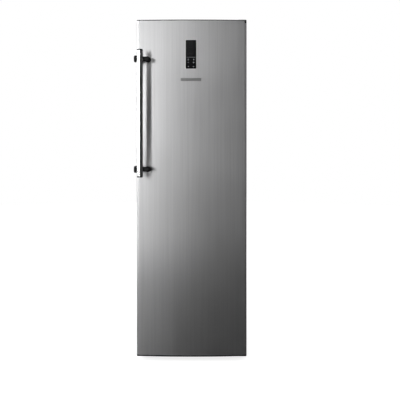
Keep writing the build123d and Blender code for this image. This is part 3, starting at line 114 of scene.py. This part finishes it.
class Look(Net):
    """One node material: a Principled shader and the nodes that feed it."""

    def __init__(self, name, **sockets):
        self.mat = bpy.data.materials.new(name)
        self.mat.use_nodes = True
        super().__init__(self.mat.node_tree)
        self.shader = self.tree.nodes["Principled BSDF"]
        self.coord = self.add("TexCoord").outputs["Object"]
        for key, value in sockets.items():
            self.shader.inputs[key.replace("_", " ")].default_value = value

    def scaled(self, x, y, z):
        node = self.add("Mapping")
        node.inputs["Scale"].default_value = (x, y, z)
        self.feed(self.coord, node.inputs["Vector"])
        return node.outputs["Vector"]

    def noise(self, scale, detail=3.0, vector=None, rough=0.55):
        node = self.add("TexNoise")
        node.inputs["Scale"].default_value = scale
        node.inputs["Detail"].default_value = detail
        node.inputs["Roughness"].default_value = rough
        self.feed(vector or self.coord, node.inputs["Vector"])
        return node.outputs["Fac"]

    def cells(self, scale, out="Distance"):
        node = self.add("TexVoronoi")
        node.inputs["Scale"].default_value = scale
        self.feed(self.coord, node.inputs["Vector"])
        return node.outputs[out]

    def wave(self, scale, direction, profile="SIN", distort=0.0):
        node = self.add("TexWave", bands_direction=direction, wave_profile=profile)
        node.inputs["Scale"].default_value = scale
        node.inputs["Distortion"].default_value = distort
        self.feed(self.coord, node.inputs["Vector"])
        return node.outputs["Fac"]

    def blend(self, fac, a, b):
        """Colour a to colour b by fac. Either may be a socket."""
        node = self.add("Mix", data_type="RGBA")
        self.feed(fac, node.inputs["Factor"])
        for key, value in (("A", a), ("B", b)):
            socket = [s for s in node.inputs if s.name == key and s.type == "RGBA"][0]
            self.feed((*value, 1.0) if isinstance(value, tuple) else value, socket)
        return [s for s in node.outputs if s.type == "RGBA"][0]

    def mottle(self, fac, colour, dark, light):
        """The colour from dark times to light times its tone, by fac."""
        return self.blend(fac, shade(colour, dark), shade(colour, light))

    def colour(self, value):
        self.feed(value, self.shader.inputs["Base Color"])

    def roughness(self, value):
        self.feed(value, self.shader.inputs["Roughness"])

    def bump(self, height, strength, distance):
        node = self.add("Bump")
        node.inputs["Strength"].default_value = strength
        node.inputs["Distance"].default_value = distance
        self.feed(height, node.inputs["Height"])
        self.feed(node.outputs["Normal"], self.shader.inputs["Normal"])

    def brush_along(self, axis):
        node = self.add("Tangent", direction_type="RADIAL", axis=axis)
        self.feed(node.outputs["Tangent"], self.shader.inputs["Tangent"])


def shade(colour, factor):
    return tuple(min(c * factor, 1.0) for c in colour)


# ---------------------------------------------------------------- materials
def brushed(name, colour, rough, anisotropy, across, along):
    """Brushed metal: fine long scratches along Z, seen in tone, gloss and relief."""
    look = Look(name, Metallic=1.0, Anisotropic=anisotropy)
    fine = look.noise(1.0, 4.0, look.scaled(across, across, along))
    broad = look.noise(1.0, 3.0, look.scaled(across / 9, across / 9, along / 3))
    smudge = look.noise(3.1, 4.0)
    streak = look.plus(fine, look.times(broad, 0.5))
    tone = look.between(streak, 0.0, 1.0, 0.5, 1.0)
    look.colour(look.mottle(tone, colour, 0.93, 1.07))
    grain = look.between(fine, rough - 0.03, rough + 0.03)
    look.roughness(look.plus(grain, look.between(smudge, -0.012, 0.018)))
    look.bump(fine, 0.05, 0.0003)
    look.brush_along("Z")
    return look.mat


def painted(name, colour, rough, peel=180.0, relief=0.06):
    """Sprayed or powder-coated sheet: orange peel, slight clouds, scuffs low down."""
    look = Look(name, Specular_IOR_Level=0.5)
    cloud = look.noise(2.3, 3.0)
    peel_map = look.noise(peel, 2.0)
    scuff = look.noise(1.0, 5.0, look.scaled(9.0, 9.0, 55.0), 0.7)
    low = look.between(look.axis(look.coord, "Z"), 1.0, 0.0, 0.02, 0.35)
    worn = look.times(look.between(scuff, 0.0, 1.0, 0.6, 0.72), low)
    base = look.mottle(look.between(cloud, 0.0, 1.0), colour, 0.96, 1.03)
    look.colour(look.blend(look.times(worn, 0.35), base, shade(colour, 0.72)))
    look.roughness(look.plus(look.between(peel_map, rough - 0.03, rough + 0.04), worn))
    look.bump(peel_map, relief, 0.0004)
    return look.mat


def moulded(name, colour, rough, grain=900.0, relief=0.08, specular=0.5):
    """Moulded plastic: fine spark-eroded grain, faint flow clouds."""
    look = Look(name, Specular_IOR_Level=specular)
    fine = look.noise(grain, 2.0)
    cloud = look.noise(6.0, 4.0)
    tone = look.plus(look.between(fine, 0.35, 0.65), look.between(cloud, -0.35, 0.35))
    look.colour(look.mottle(tone, colour, 0.92, 1.08))
    gloss = look.between(fine, rough - 0.04, rough + 0.05)
    look.roughness(look.plus(gloss, look.between(cloud, -0.03, 0.04)))
    look.bump(fine, relief, 0.0002)
    return look.mat


def formed(name, colour):
    """Vacuum-formed sheet: an even satin gloss, hardly any grain, slow waves in tone and gloss."""
    look = Look(name, Specular_IOR_Level=0.45)
    fine = look.noise(1400.0, 2.0)
    wave = look.noise(2.2, 2.0)
    look.colour(look.mottle(look.between(wave, 0.0, 1.0), colour, 0.985, 1.015))
    gloss = look.between(fine, 0.33, 0.37)
    look.roughness(look.plus(gloss, look.between(wave, -0.015, 0.015)))
    look.bump(fine, 0.02, 0.0001)
    return look.mat


def lit_lens(name, colour):
    """Frosted lens of the interior lamp, faintly lit, with fine prism ribs across it."""
    look = Look(name, Emission_Strength=1.2, Emission_Color=(0.93, 0.96, 1.0, 1.0))
    ribs = look.wave(150.0, "X")
    haze = look.noise(60.0, 3.0)
    look.colour(look.mottle(look.between(haze, 0.0, 1.0), colour, 0.97, 1.03))
    look.roughness(look.between(haze, 0.30, 0.40))
    look.bump(ribs, 0.3, 0.0003)
    return look.mat


def galvanised(name):
    """Zinc-coated sheet with its spangle."""
    look = Look(name, Metallic=0.85)
    split = look.add("SeparateColor")
    look.feed(look.cells(70.0, out="Color"), split.inputs[0])
    cell = split.outputs[0]
    stain = look.between(look.noise(4.0, 5.0), 0.0, 0.45, 0.45, 0.75)
    base = look.blend(cell, (0.42, 0.44, 0.46), (0.58, 0.60, 0.61))
    look.colour(look.blend(stain, base, (0.38, 0.38, 0.37)))
    look.roughness(look.between(cell, 0.38, 0.55, 0.0, 1.0))
    look.bump(cell, 0.04, 0.0003)
    return look.mat


def foam(name):
    """Rigid polyurethane: pale yellow, small closed cells, with painted shade in their pits."""
    look = Look(name, Subsurface_Weight=0.05)
    cell = look.cells(420.0)
    cloud = look.noise(8.0, 4.0)
    base = look.blend(look.between(cloud, 0.0, 1.0), (0.72, 0.62, 0.38), (0.80, 0.72, 0.50))
    # Each cell is darker towards its middle, where the bump sinks it into a pit: painted shade.
    look.colour(look.blend(look.between(cell, 0.35, 0.0, 0.0, 0.5), base, (0.55, 0.45, 0.24)))
    look.roughness(look.between(cloud, 0.82, 0.95))
    look.bump(cell, 0.35, 0.001)
    return look.mat


def clear(name, colour, rough, weight, ior=1.49):
    """Clear moulding or glass: a little haze and flow lines in it."""
    look = Look(name, Transmission_Weight=weight, IOR=ior)
    flow = look.noise(1.0, 3.0, look.scaled(5.0, 5.0, 28.0))
    haze = look.noise(45.0, 3.0)
    look.colour(look.mottle(look.between(flow, 0.0, 1.0), colour, 0.97, 1.02))
    look.roughness(look.between(haze, rough, rough + 0.07))
    look.bump(flow, 0.05, 0.0006)
    return look.mat


def metal(name, colour, rough, dull, metallic=1.0):
    """Cast, drawn or plated metal with duller patches."""
    look = Look(name, Metallic=metallic)
    fine = look.noise(260.0, 3.0)
    patch = look.noise(14.0, 5.0)
    look.colour(look.blend(look.between(patch, 0.0, 1.0, 0.42, 0.66), colour, dull))
    gloss = look.between(patch, rough, rough + 0.18, 0.4, 0.7)
    look.roughness(look.plus(gloss, look.between(fine, -0.03, 0.03)))
    look.bump(fine, 0.06, 0.0003)
    return look.mat


def enamel(name, colour):
    """Thick black enamel with dust on what faces up."""
    look = Look(name, Coat_Weight=0.35, Coat_Roughness=0.18)
    drip = look.noise(1.0, 3.0, look.scaled(30.0, 30.0, 8.0))
    dust_map = look.noise(60.0, 4.0)
    normal = look.add("NewGeometry").outputs["Normal"]
    up = look.between(look.axis(normal, "Z"), 0.0, 0.5, 0.3, 1.0)
    dust = look.times(up, look.between(dust_map, 0.3, 1.0))
    base = look.mottle(look.between(drip, 0.0, 1.0), colour, 0.8, 1.25)
    look.colour(look.blend(dust, base, (0.20, 0.19, 0.17)))
    look.roughness(look.plus(look.between(drip, 0.3, 0.4), look.times(dust, 0.5)))
    look.bump(drip, 0.08, 0.0008)
    return look.mat


def circuit(name):
    """Green solder mask with traces and vias."""
    look = Look(name, Coat_Weight=0.3)
    lines = look.between(look.wave(95.0, "X", "SAW", 2.5), 0.0, 1.0, 0.86, 0.9)
    rows = look.between(look.wave(60.0, "Z", "SAW", 3.0), 1.0, 0.4)
    track = look.times(lines, rows)
    via = look.between(look.cells(210.0), 1.0, 0.0, 0.12, 0.18)
    base = look.blend(track, (0.010, 0.095, 0.032), (0.03, 0.20, 0.07))
    look.colour(look.blend(via, base, (0.62, 0.52, 0.25)))
    look.roughness(look.between(look.noise(120.0), 0.3, 0.42))
    look.bump(track, 0.2, 0.0001)
    return look.mat


def glossy_black(name):
    """Dark glass over a black print, with faint wipe marks in its tone and gloss."""
    look = Look(name, Coat_Weight=0.5, Coat_Roughness=0.03, IOR=1.5)
    wipe = look.noise(1.0, 4.0, look.scaled(40.0, 40.0, 14.0))
    tone = look.between(wipe, 0.0, 1.0)
    look.colour(look.blend(tone, (0.0035, 0.0037, 0.0042), (0.0055, 0.0056, 0.0062)))
    look.roughness(look.between(wipe, 0.05, 0.12))
    look.bump(wipe, 0.01, 0.0002)
    return look.mat


def smoked_window(name):
    """Smoked window over the digits: gloss with a soft vertical fade."""
    look = Look(name, Coat_Weight=0.4, Coat_Roughness=0.03)
    fade = look.between(look.axis(look.coord, "Z"), 0.0, 1.0, 1.65, 1.74)
    speck = look.noise(800.0, 2.0)
    base = look.blend(fade, (0.0040, 0.0042, 0.0048), (0.0068, 0.0070, 0.0077))
    look.colour(look.blend(look.times(speck, 0.2), base, (0.012, 0.012, 0.013)))
    look.roughness(look.between(speck, 0.09, 0.15))
    look.bump(speck, 0.01, 0.00005)
    return look.mat


def printed(name, colour, rough=0.4):
    """Screen-printed ink: slight speckle in tone and gloss."""
    look = Look(name, Specular_IOR_Level=0.4)
    speck = look.noise(2600.0, 2.0)
    look.colour(look.mottle(look.between(speck, 0.0, 1.0), colour, 0.9, 1.1))
    look.roughness(look.between(speck, rough, rough + 0.1))
    look.bump(speck, 0.05, 0.00005)
    return look.mat


# Each material slot of the record: what makes its finish, and with which values.
FINISHES = {
    "cabinet_paint": (painted, dict(colour=(0.42, 0.43, 0.44), rough=0.42)),
    "galvanised_sheet": (galvanised, {}),
    "base_steel": (painted, dict(colour=(0.055, 0.057, 0.06), rough=0.48, peel=320.0, relief=0.1)),
    "foam": (foam, {}),
    "liner_white": (formed, dict(colour=(0.83, 0.845, 0.86))),
    "white_plastic": (moulded, dict(colour=(0.80, 0.81, 0.82), rough=0.34)),
    "black_plastic": (moulded, dict(colour=(0.022, 0.023, 0.025), rough=0.46, relief=0.16)),
    "control_cover": (moulded, dict(colour=(0.16, 0.165, 0.17), rough=0.5, grain=700.0, relief=0.16)),
    "zinc_steel": (metal, dict(colour=(0.58, 0.59, 0.60), rough=0.30, dull=(0.45, 0.45, 0.44))),
    "compressor_black": (enamel, dict(colour=(0.017, 0.017, 0.018))),
    "mount_rubber": (
        moulded,
        dict(colour=(0.026, 0.026, 0.026), rough=0.78, grain=500.0, relief=0.2, specular=0.3),
    ),
    "copper": (metal, dict(colour=(0.80, 0.42, 0.26), rough=0.26, dull=(0.40, 0.20, 0.12))),
    "fin_aluminium": (metal, dict(colour=(0.74, 0.75, 0.76), rough=0.34, dull=(0.62, 0.63, 0.64))),
    "shelf_glass": (clear, dict(colour=(0.90, 0.97, 0.94), rough=0.01, weight=0.94, ior=1.52)),
    "clear_plastic": (clear, dict(colour=(0.90, 0.94, 0.97), rough=0.06, weight=0.82)),
    "door_stainless": (
        brushed,
        dict(colour=(0.72, 0.72, 0.726), rough=0.36, anisotropy=0.8, across=700.0, along=2.2),
    ),
    "cap_grey": (moulded, dict(colour=(0.075, 0.077, 0.08), rough=0.42, relief=0.12)),
    "gasket_grey": (moulded, dict(colour=(0.30, 0.305, 0.31), rough=0.62, grain=500.0, relief=0.1)),
    "bush_plastic": (moulded, dict(colour=(0.55, 0.54, 0.50), rough=0.4)),
    "handle_metal": (
        brushed,
        dict(colour=(0.60, 0.60, 0.604), rough=0.26, anisotropy=0.6, across=900.0, along=5.0),
    ),
    "handle_cap": (moulded, dict(colour=(0.03, 0.031, 0.033), rough=0.35, relief=0.1)),
    "handle_black": (
        moulded,
        dict(colour=(0.009, 0.0092, 0.0098), rough=0.58, relief=0.12, specular=0.3),
    ),
    "bezel_silver": (
        metal,
        dict(colour=(0.93, 0.93, 0.925), rough=0.30, dull=(0.87, 0.87, 0.865), metallic=0.35),
    ),
    "display_black": (glossy_black, {}),
    "board_green": (circuit, {}),
    "plate_silver": (
        brushed,
        dict(colour=(0.48, 0.48, 0.486), rough=0.34, anisotropy=0.5, across=1100.0, along=60.0),
    ),
}
LOOKS = {slot: make(slot, **values) for slot, (make, values) in FINISHES.items()}

# The nodes that don't look like the rest of their slot.
OWN_LOOKS = {
    # The bottom cap's slot is the caps' grey plastic; here it is made near-black, which is painted
    # shade at the foot of the door.
    "door_bottom_cap": moulded("bottom_cap_painted_shade", (0.024, 0.0245, 0.026), 0.45, relief=0.12),
    "interior_lamp": lit_lens("lamp_lens", (0.86, 0.87, 0.88)),
}


def dress_nodes():
    for name, node in nodes.items():
        for slot in node.material_slots:
            slot.material = OWN_LOOKS.get(name) or LOOKS[slot.material.name.split(".")[0]]


# ---------------------------------------------------------------- mesh helpers
def mesh_object(name, mesh, mat):
    """The object of a finished bmesh, in one material."""
    data = bpy.data.meshes.new(name)
    mesh.to_mesh(data)
    mesh.free()
    data.materials.append(mat)
    obj = bpy.data.objects.new(name, data)
    scene.collection.objects.link(obj)
    return obj


def bevel(obj, width):
    mod = obj.modifiers.new("bevel", "BEVEL")
    mod.width = width
    mod.segments = 2
    mod.limit_method = "ANGLE"
    mod.angle_limit = math.radians(40)


def add_prism(mesh, one_end, other_end):
    """A closed solid between two loops of as many points."""
    a = [mesh.verts.new(point) for point in one_end]
    b = [mesh.verts.new(point) for point in other_end]
    mesh.faces.new(a)
    mesh.faces.new(b)
    for i in range(len(a)):
        j = (i + 1) % len(a)
        mesh.faces.new((a[i], a[j], b[j], b[i]))


def rounded_loop(x0, x1, z0, z1, r, steps):
    """Points round a rectangle with rounded corners."""
    loop = []
    corners = (
        (x1 - r, z1 - r, 0),
        (x0 + r, z1 - r, 90),
        (x0 + r, z0 + r, 180),
        (x1 - r, z0 + r, 270),
    )
    for cx, cz, start in corners:
        for i in range(steps + 1):
            a = math.radians(start + 90 * i / steps)
            loop.append((cx + r * math.cos(a), cz + r * math.sin(a)))
    return loop


def arc_band(cx, cz, r, wide, start, end, steps=20):
    """Quads along a ring or part of one."""

    def across(turn):
        a = math.radians(turn)
        return [(cx + q * math.cos(a), cz + q * math.sin(a)) for q in (r - wide, r)]

    quads = []
    for i in range(steps):
        inner, outer = across(start + (end - start) * i / steps)
        next_inner, next_outer = across(start + (end - start) * (i + 1) / steps)
        quads.append([inner, outer, next_outer, next_inner])
    return quads


def stroke(x0, z0, x1, z1, wide):
    """The quad of a straight line."""
    dx, dz = x1 - x0, z1 - z0
    n = math.hypot(dx, dz)
    ox, oz = -dz / n * wide / 2, dx / n * wide / 2
    return [(x0 + ox, z0 + oz), (x0 - ox, z0 - oz), (x1 - ox, z1 - oz), (x1 + ox, z1 + oz)]


# ---------------------------------------------------------------- display marks
# The display's middle, the front of its glass at X = 0 and the radius of the glass's bow.
DISPLAY_X = -0.004
FACE_Y = -0.3029
BOW_R = 4.0045
PRINT_PROUD = 0.00002

WINDOW_HALF = 0.0245
WINDOW_Z = (1.6515, 1.7345)
WINDOW_STRIPS = 12
WINDOW_THICK = 0.00012
WINDOW_BEVEL = 0.00005

KEY_SIDE = 0.0145
KEY_ROWS = (1.634, 1.618, 1.596)
SIGN_R = 0.0034
SIGN_LINE = 0.0009
INK_THICK = 0.0001

DASHES = 13
DASH_PITCH = 0.0039
DASH_HALF = 0.0014
DASH_WIDE = 0.0011
DIVIDER_Z = 1.646


def face_y(x):
    """Where the back of a print at x lies, just in front of the bowed glass."""
    return FACE_Y + x * x / (2 * BOW_R) - PRINT_PROUD


def thin_plate(name, loops, thick, mat):
    """A thin printed or inlaid form on the glass. Each loop is a list of (x, z)."""
    mesh = bmesh.new()
    for loop in loops:
        back = [(x, face_y(x), z) for x, z in loop]
        add_prism(mesh, back, [(x, y - thick, z) for x, y, z in back])
    bmesh.ops.recalc_face_normals(mesh, faces=mesh.faces)
    obj = mesh_object(name, mesh, mat)
    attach(obj, "door")
    return obj


def power_sign(x, z):
    """A ring open at the top, with a bar in the opening."""
    low, high = z + 0.001, z + 0.0042
    ring = arc_band(x, z, SIGN_R, SIGN_LINE, 120, 420)
    return ring + [stroke(x, low, x, high, SIGN_LINE)]


def cold_sign(x, z):
    """Three crossed strokes."""
    reach = 0.0036
    arms = []
    for turn in (0, 60, 120):
        dx = reach * math.cos(math.radians(turn))
        dz = reach * math.sin(math.radians(turn))
        arms.append(stroke(x - dx, z - dz, x + dx, z + dz, SIGN_LINE))
    return arms


def chevron_sign(x, z, way):
    """An open arrow head, up where way is 1 and down where it is -1."""
    half, fall, rise = 0.003, 0.0015, 0.0018
    low, tip = z - fall * way, z + rise * way
    return [
        stroke(x - half, low, x, tip, SIGN_LINE),
        stroke(x, tip, x + half, low, SIGN_LINE),
    ]


def timer_sign(x, z):
    """A clock face with two hands."""
    up, right = 0.0022, 0.0016
    hands = [stroke(x, z, x, z + up, SIGN_LINE), stroke(x, z, x + right, z, SIGN_LINE)]
    return arc_band(x, z, SIGN_R, SIGN_LINE, 0, 360) + hands


def lock_sign(x, z):
    """A padlock's outline in a thinner line."""
    half, tall, line = 0.0024, 0.00192, SIGN_LINE * 0.7
    bow_z, bow_r = z + 0.0019, 0.0021
    corners = ((-1, -1), (1, -1), (1, 1), (-1, 1), (-1, -1))
    body = []
    for (x0, z0), (x1, z1) in zip(corners, corners[1:]):
        body.append(stroke(x + x0 * half, z + z0 * tall, x + x1 * half, z + z1 * tall, line))
    return body + arc_band(x, bow_z, bow_r, line, 0, 180, 10)


def key_signs():
    """Six plain signs on the touch keys."""
    left, right = DISPLAY_X - KEY_SIDE, DISPLAY_X + KEY_SIDE
    top, middle, bottom = KEY_ROWS
    signs = power_sign(left, top) + cold_sign(right, top)
    signs += chevron_sign(left, middle, 1) + timer_sign(right, middle)
    signs += chevron_sign(left, bottom, -1) + lock_sign(right, bottom)
    return signs


def divider():
    """Row of short dashes between the window and the keys."""
    dashes = []
    for i in range(DASHES):
        x = DISPLAY_X + (i - (DASHES - 1) / 2) * DASH_PITCH
        dashes.append(stroke(x - DASH_HALF, DIVIDER_Z, x + DASH_HALF, DIVIDER_Z, DASH_WIDE))
    return dashes


def window_strips():
    """The window in upright strips, so that it follows the glass's bow."""
    low, high = WINDOW_Z
    wide = 2 * WINDOW_HALF / WINDOW_STRIPS
    strips = []
    for i in range(WINDOW_STRIPS):
        a = DISPLAY_X - WINDOW_HALF + wide * i
        strips.append([(a, low), (a + wide, low), (a + wide, high), (a, high)])
    return strips


def display_details():
    smoke = smoked_window("window_smoke")
    bevel(thin_plate("display_window", window_strips(), WINDOW_THICK, smoke), WINDOW_BEVEL)
    ink = printed("key_print", (0.46, 0.48, 0.50))
    thin_plate("display_keys", key_signs(), INK_THICK, ink)
    line = printed("line_print", (0.40, 0.41, 0.43))
    thin_plate("display_divider", divider(), INK_THICK, line)


# ---------------------------------------------------------------- hinge corner
# The door's right edge in plan: the rounding of the edge, then that of the corner.
EDGE_CENTRE = (0.27854, -0.22213)
EDGE_R = 0.070
CORNER_CENTRE = (0.2935, -0.28641)
CORNER_R = 0.004

# The dark sheet over it: where it starts, how far round the corner it goes, and its section.
SHEET_LEFT = 0.2866
SHEET_TURN = math.radians(66)
SHEET_Z = (1.8320, 1.8452)
SHEET_R = 0.005
SHEET_PROUD = 0.0002
SHEET_SUNK = 0.0006
SHEET_STEPS = 8
SHEET_ROWS = 6
PIECE_BEVEL = 0.0002


def along_arc(centre, r, start, end, first):
    """Plan points of an arc, from its point number first. Angles run from -Y towards +X."""
    points = []
    for i in range(first, SHEET_STEPS + 1):
        a = start + (end - start) * i / SHEET_STEPS
        points.append((centre[0] + r * math.sin(a), centre[1] - r * math.cos(a)))
    return points


def corner_plan(proud):
    """Plan points along the door's front right edge and round its corner."""
    cx, cy = EDGE_CENTRE
    start = math.asin((SHEET_LEFT - cx) / EDGE_R)
    turn = math.atan2(CORNER_CENTRE[0] - cx, cy - CORNER_CENTRE[1])
    edge = along_arc(EDGE_CENTRE, EDGE_R + proud, start, turn, 0)
    return edge + along_arc(CORNER_CENTRE, CORNER_R + proud, turn, SHEET_TURN, 1)


def corner_sheet(mesh, plan):
    """A grid of points over the plan, with the lower left corner rounded."""
    low, high = SHEET_Z
    grid = []
    for x, y in plan:
        s = max(SHEET_R - (x - plan[0][0]), 0.0)
        bottom = low + SHEET_R - math.sqrt(max(SHEET_R * SHEET_R - s * s, 0.0))
        tall = high - bottom
        heights = [bottom + tall * j / SHEET_ROWS for j in range(SHEET_ROWS + 1)]
        grid.append([mesh.verts.new((x, y, z)) for z in heights])
    return grid


def hinge_corner():
    """A thin near-black sheet round the door's top right corner, beside the hinge."""
    mesh = bmesh.new()
    a = corner_sheet(mesh, corner_plan(SHEET_PROUD))
    b = corner_sheet(mesh, corner_plan(-SHEET_SUNK))
    n, rows = len(a), SHEET_ROWS
    for i in range(n - 1):
        for j in range(rows):
            mesh.faces.new((a[i][j], a[i + 1][j], a[i + 1][j + 1], a[i][j + 1]))
            mesh.faces.new((b[i][j], b[i][j + 1], b[i + 1][j + 1], b[i + 1][j]))
    rim = [(i, 0) for i in range(n)] + [(n - 1, j) for j in range(1, rows + 1)]
    rim += [(i, rows) for i in range(n - 2, -1, -1)] + [(0, j) for j in range(rows - 1, 0, -1)]
    for (i, j), (u, v) in zip(rim, rim[1:] + rim[:1]):
        mesh.faces.new((a[u][v], a[i][j], b[i][j], b[u][v]))
    bmesh.ops.recalc_face_normals(mesh, faces=mesh.faces)
    for face in mesh.faces:
        face.smooth = True
    plastic = moulded("corner_dark_sheet", (0.016, 0.0165, 0.018), 0.4, relief=0.12)
    obj = mesh_object("hinge_corner", mesh, plastic)
    bevel(obj, PIECE_BEVEL)
    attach(obj, "door")


# ---------------------------------------------------------------- shell flanges
# How far each fold reaches inward, and its distance from the shell's edge and the panel's face.
FLANGE_IN = 0.0212
FLANGE_LIFT = 0.0004
FLANGE_GAP = 0.00005
FLANGE_R = 0.002
FLANGE_STEPS = 4


def bay_flanges():
    """The shell's sides folded inward at the back, over the foam beside the machine bay."""
    low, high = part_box("outer_shell")
    panel_low, panel_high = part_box("back_panel")
    z0, z1 = low.z + FLANGE_LIFT, panel_low.z - FLANGE_LIFT
    mesh = bmesh.new()
    for side in (low.x, high.x):
        edge = side - math.copysign(FLANGE_LIFT, side)
        inner = side - math.copysign(FLANGE_IN, side)
        loop = rounded_loop(min(edge, inner), max(edge, inner), z0, z1, FLANGE_R, FLANGE_STEPS)
        front = [(x, panel_low.y + FLANGE_GAP, z) for x, z in loop]
        add_prism(mesh, front, [(x, panel_high.y, z) for x, z in loop])
    bmesh.ops.recalc_face_normals(mesh, faces=mesh.faces)
    obj = mesh_object("bay_flanges", mesh, LOOKS["cabinet_paint"])
    bevel(obj, PIECE_BEVEL)
    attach(obj, "cabinet")


# ---------------------------------------------------------------- stage and light
WHITE = (1.0, 1.0, 1.0, 1.0)

# The world's light, and how far and towards where it dims for reflections.
WORLD_FILL = 0.50
ROOM_DARK = 0.042
ROOM_TO = (0.0, -1.0, 0.0)
ROOM_EDGE = (-0.75, -0.40)

# The floor, and the polish that reflections see, which fades out between two places in Y.
FLOOR_R = 9.0
FLOOR_SIDES = 96
FLOOR_Z = -0.0004
FLOOR_GREY = (0.62, 0.62, 0.62, 1.0)
FLOOR_EMIT = 0.80
POLISH_GREY = (0.05, 0.05, 0.05, 1.0)
POLISH_IOR = 1.9
POLISH_ROUGH = 0.12
POLISH_FADE = (0.3, 1.2)


def seen_rays(net, path):
    """1 on the rays that show the white background: camera, glossy and transmission rays."""
    seen = net.maths("MAXIMUM", path["Is Camera Ray"], path["Is Glossy Ray"])
    return net.maths("MAXIMUM", seen, path["Is Transmission Ray"])


def mirror_rays(net, path):
    """1 on the rays of gloss and metal alone."""
    return net.times(net.minus(1.0, path["Is Camera Ray"]), path["Is Glossy Ray"])


def make_world():
    """White background. For reflections, the room on the camera's side is dim."""
    world = bpy.data.worlds.new("studio")
    scene.world = world
    world.use_nodes = True
    net = Net(world.node_tree)
    path = net.add("LightPath").outputs
    along = net.add("VectorMath", operation="DOT_PRODUCT")
    net.feed(net.add("TexCoord").outputs["Generated"], along.inputs[0])
    along.inputs[1].default_value = ROOM_TO
    room = net.between(along.outputs["Value"], 1.0, ROOM_DARK, *ROOM_EDGE, "SMOOTHSTEP")
    dim = net.times(net.minus(1.0, room), mirror_rays(net, path))
    mix = net.add("Mix")
    net.feed(seen_rays(net, path), mix.inputs["Factor"])
    net.feed(WORLD_FILL, mix.inputs["A"])
    net.feed(net.minus(1.0, dim), mix.inputs["B"])
    back = net.tree.nodes["Background"]
    back.inputs["Color"].default_value = WHITE
    net.feed(mix.outputs["Result"], back.inputs["Strength"])


def floor_look():
    """Pale floor that keeps the object's shadow. In front it is polished, as metal sees it."""
    mat = bpy.data.materials.new("floor")
    mat.use_nodes = True
    net = Net(mat.node_tree)
    path = net.add("LightPath").outputs
    diffuse = net.add("BsdfDiffuse")
    diffuse.inputs["Color"].default_value = FLOOR_GREY
    emit = net.add("Emission")
    emit.inputs["Color"].default_value = WHITE
    net.feed(net.times(seen_rays(net, path), FLOOR_EMIT), emit.inputs["Strength"])
    pale = net.add("AddShader")
    net.feed(diffuse.outputs[0], pale.inputs[0])
    net.feed(emit.outputs[0], pale.inputs[1])
    polish = net.tree.nodes["Principled BSDF"]
    polish.inputs["Base Color"].default_value = POLISH_GREY
    polish.inputs["Roughness"].default_value = POLISH_ROUGH
    polish.inputs["IOR"].default_value = POLISH_IOR
    depth = net.axis(net.add("NewGeometry").outputs["Position"], "Y")
    front = net.between(depth, 1.0, 0.0, *POLISH_FADE, "SMOOTHSTEP")
    mix = net.add("MixShader")
    net.feed(net.times(front, mirror_rays(net, path)), mix.inputs[0])
    net.feed(pale.outputs[0], mix.inputs[1])
    net.feed(polish.outputs[0], mix.inputs[2])
    net.feed(mix.outputs[0], net.tree.nodes["Material Output"].inputs["Surface"])
    return mat


def make_floor():
    mesh = bmesh.new()
    bmesh.ops.create_circle(
        mesh, cap_ends=True, cap_tris=False, segments=FLOOR_SIDES, radius=FLOOR_R
    )
    floor = mesh_object("floor", mesh, floor_look())
    floor.location = (0.0, 0.0, FLOOR_Z)


def area_lamp(name, location, target, size_x, size_y, radiance):
    """Soft lamp of one radiance, whatever its size."""
    data = bpy.data.lights.new(name, "AREA")
    data.shape = "RECTANGLE"
    data.size = size_x
    data.size_y = size_y
    data.energy = radiance * math.pi * size_x * size_y
    lamp = bpy.data.objects.new(name, data)
    lamp.location = location
    lamp.rotation_euler = (Vector(target) - Vector(location)).to_track_quat("-Z", "Y").to_euler()
    lamp.visible_camera = False
    scene.collection.objects.link(lamp)


# Name, degrees to the right of straight ahead, middle height, width, height, radiance.
LAMPS = (
    ("key", -46.0, 1.455, 0.20, 0.95, 34.0),
    ("key_upper", -46.0, 2.405, 0.20, 0.95, 24.0),
    ("key_near", -42.0, 1.455, 0.20, 0.95, 7.2),
    ("key_near_upper", -42.0, 2.405, 0.20, 0.95, 2.0),
    ("low_near", -36.0, 0.505, 0.20, 0.95, 9.0),
    ("low_left", -26.0, 0.505, 0.40, 0.95, 2.2),
    ("high_front", -8.0, 2.405, 0.40, 0.95, 2.0),
)
LAMP_AWAY = 2.5
DOOR_AT = (-0.1, -0.3)


def make_light():
    """Soft boxes in an arc at the left of the camera. Each aims at where the door mirrors it."""
    away = LAMP_AWAY / (DOOR_AT[1] - CAMERA_AT[1])
    for name, turn, z, wide, tall, radiance in LAMPS:
        a = math.radians(turn)
        x = DOOR_AT[0] + LAMP_AWAY * math.sin(a)
        y = DOOR_AT[1] - LAMP_AWAY * math.cos(a)
        mirror_z = (z + CAMERA_AT[2] * away) / (1 + away)
        area_lamp(name, (x, y, z), (*DOOR_AT, mirror_z), wide, tall, radiance)


make_camera()
dress_nodes()
display_details()
hinge_corner()
bay_flanges()
make_world()
make_floor()
make_light()

scene.view_settings.view_transform = "Standard"
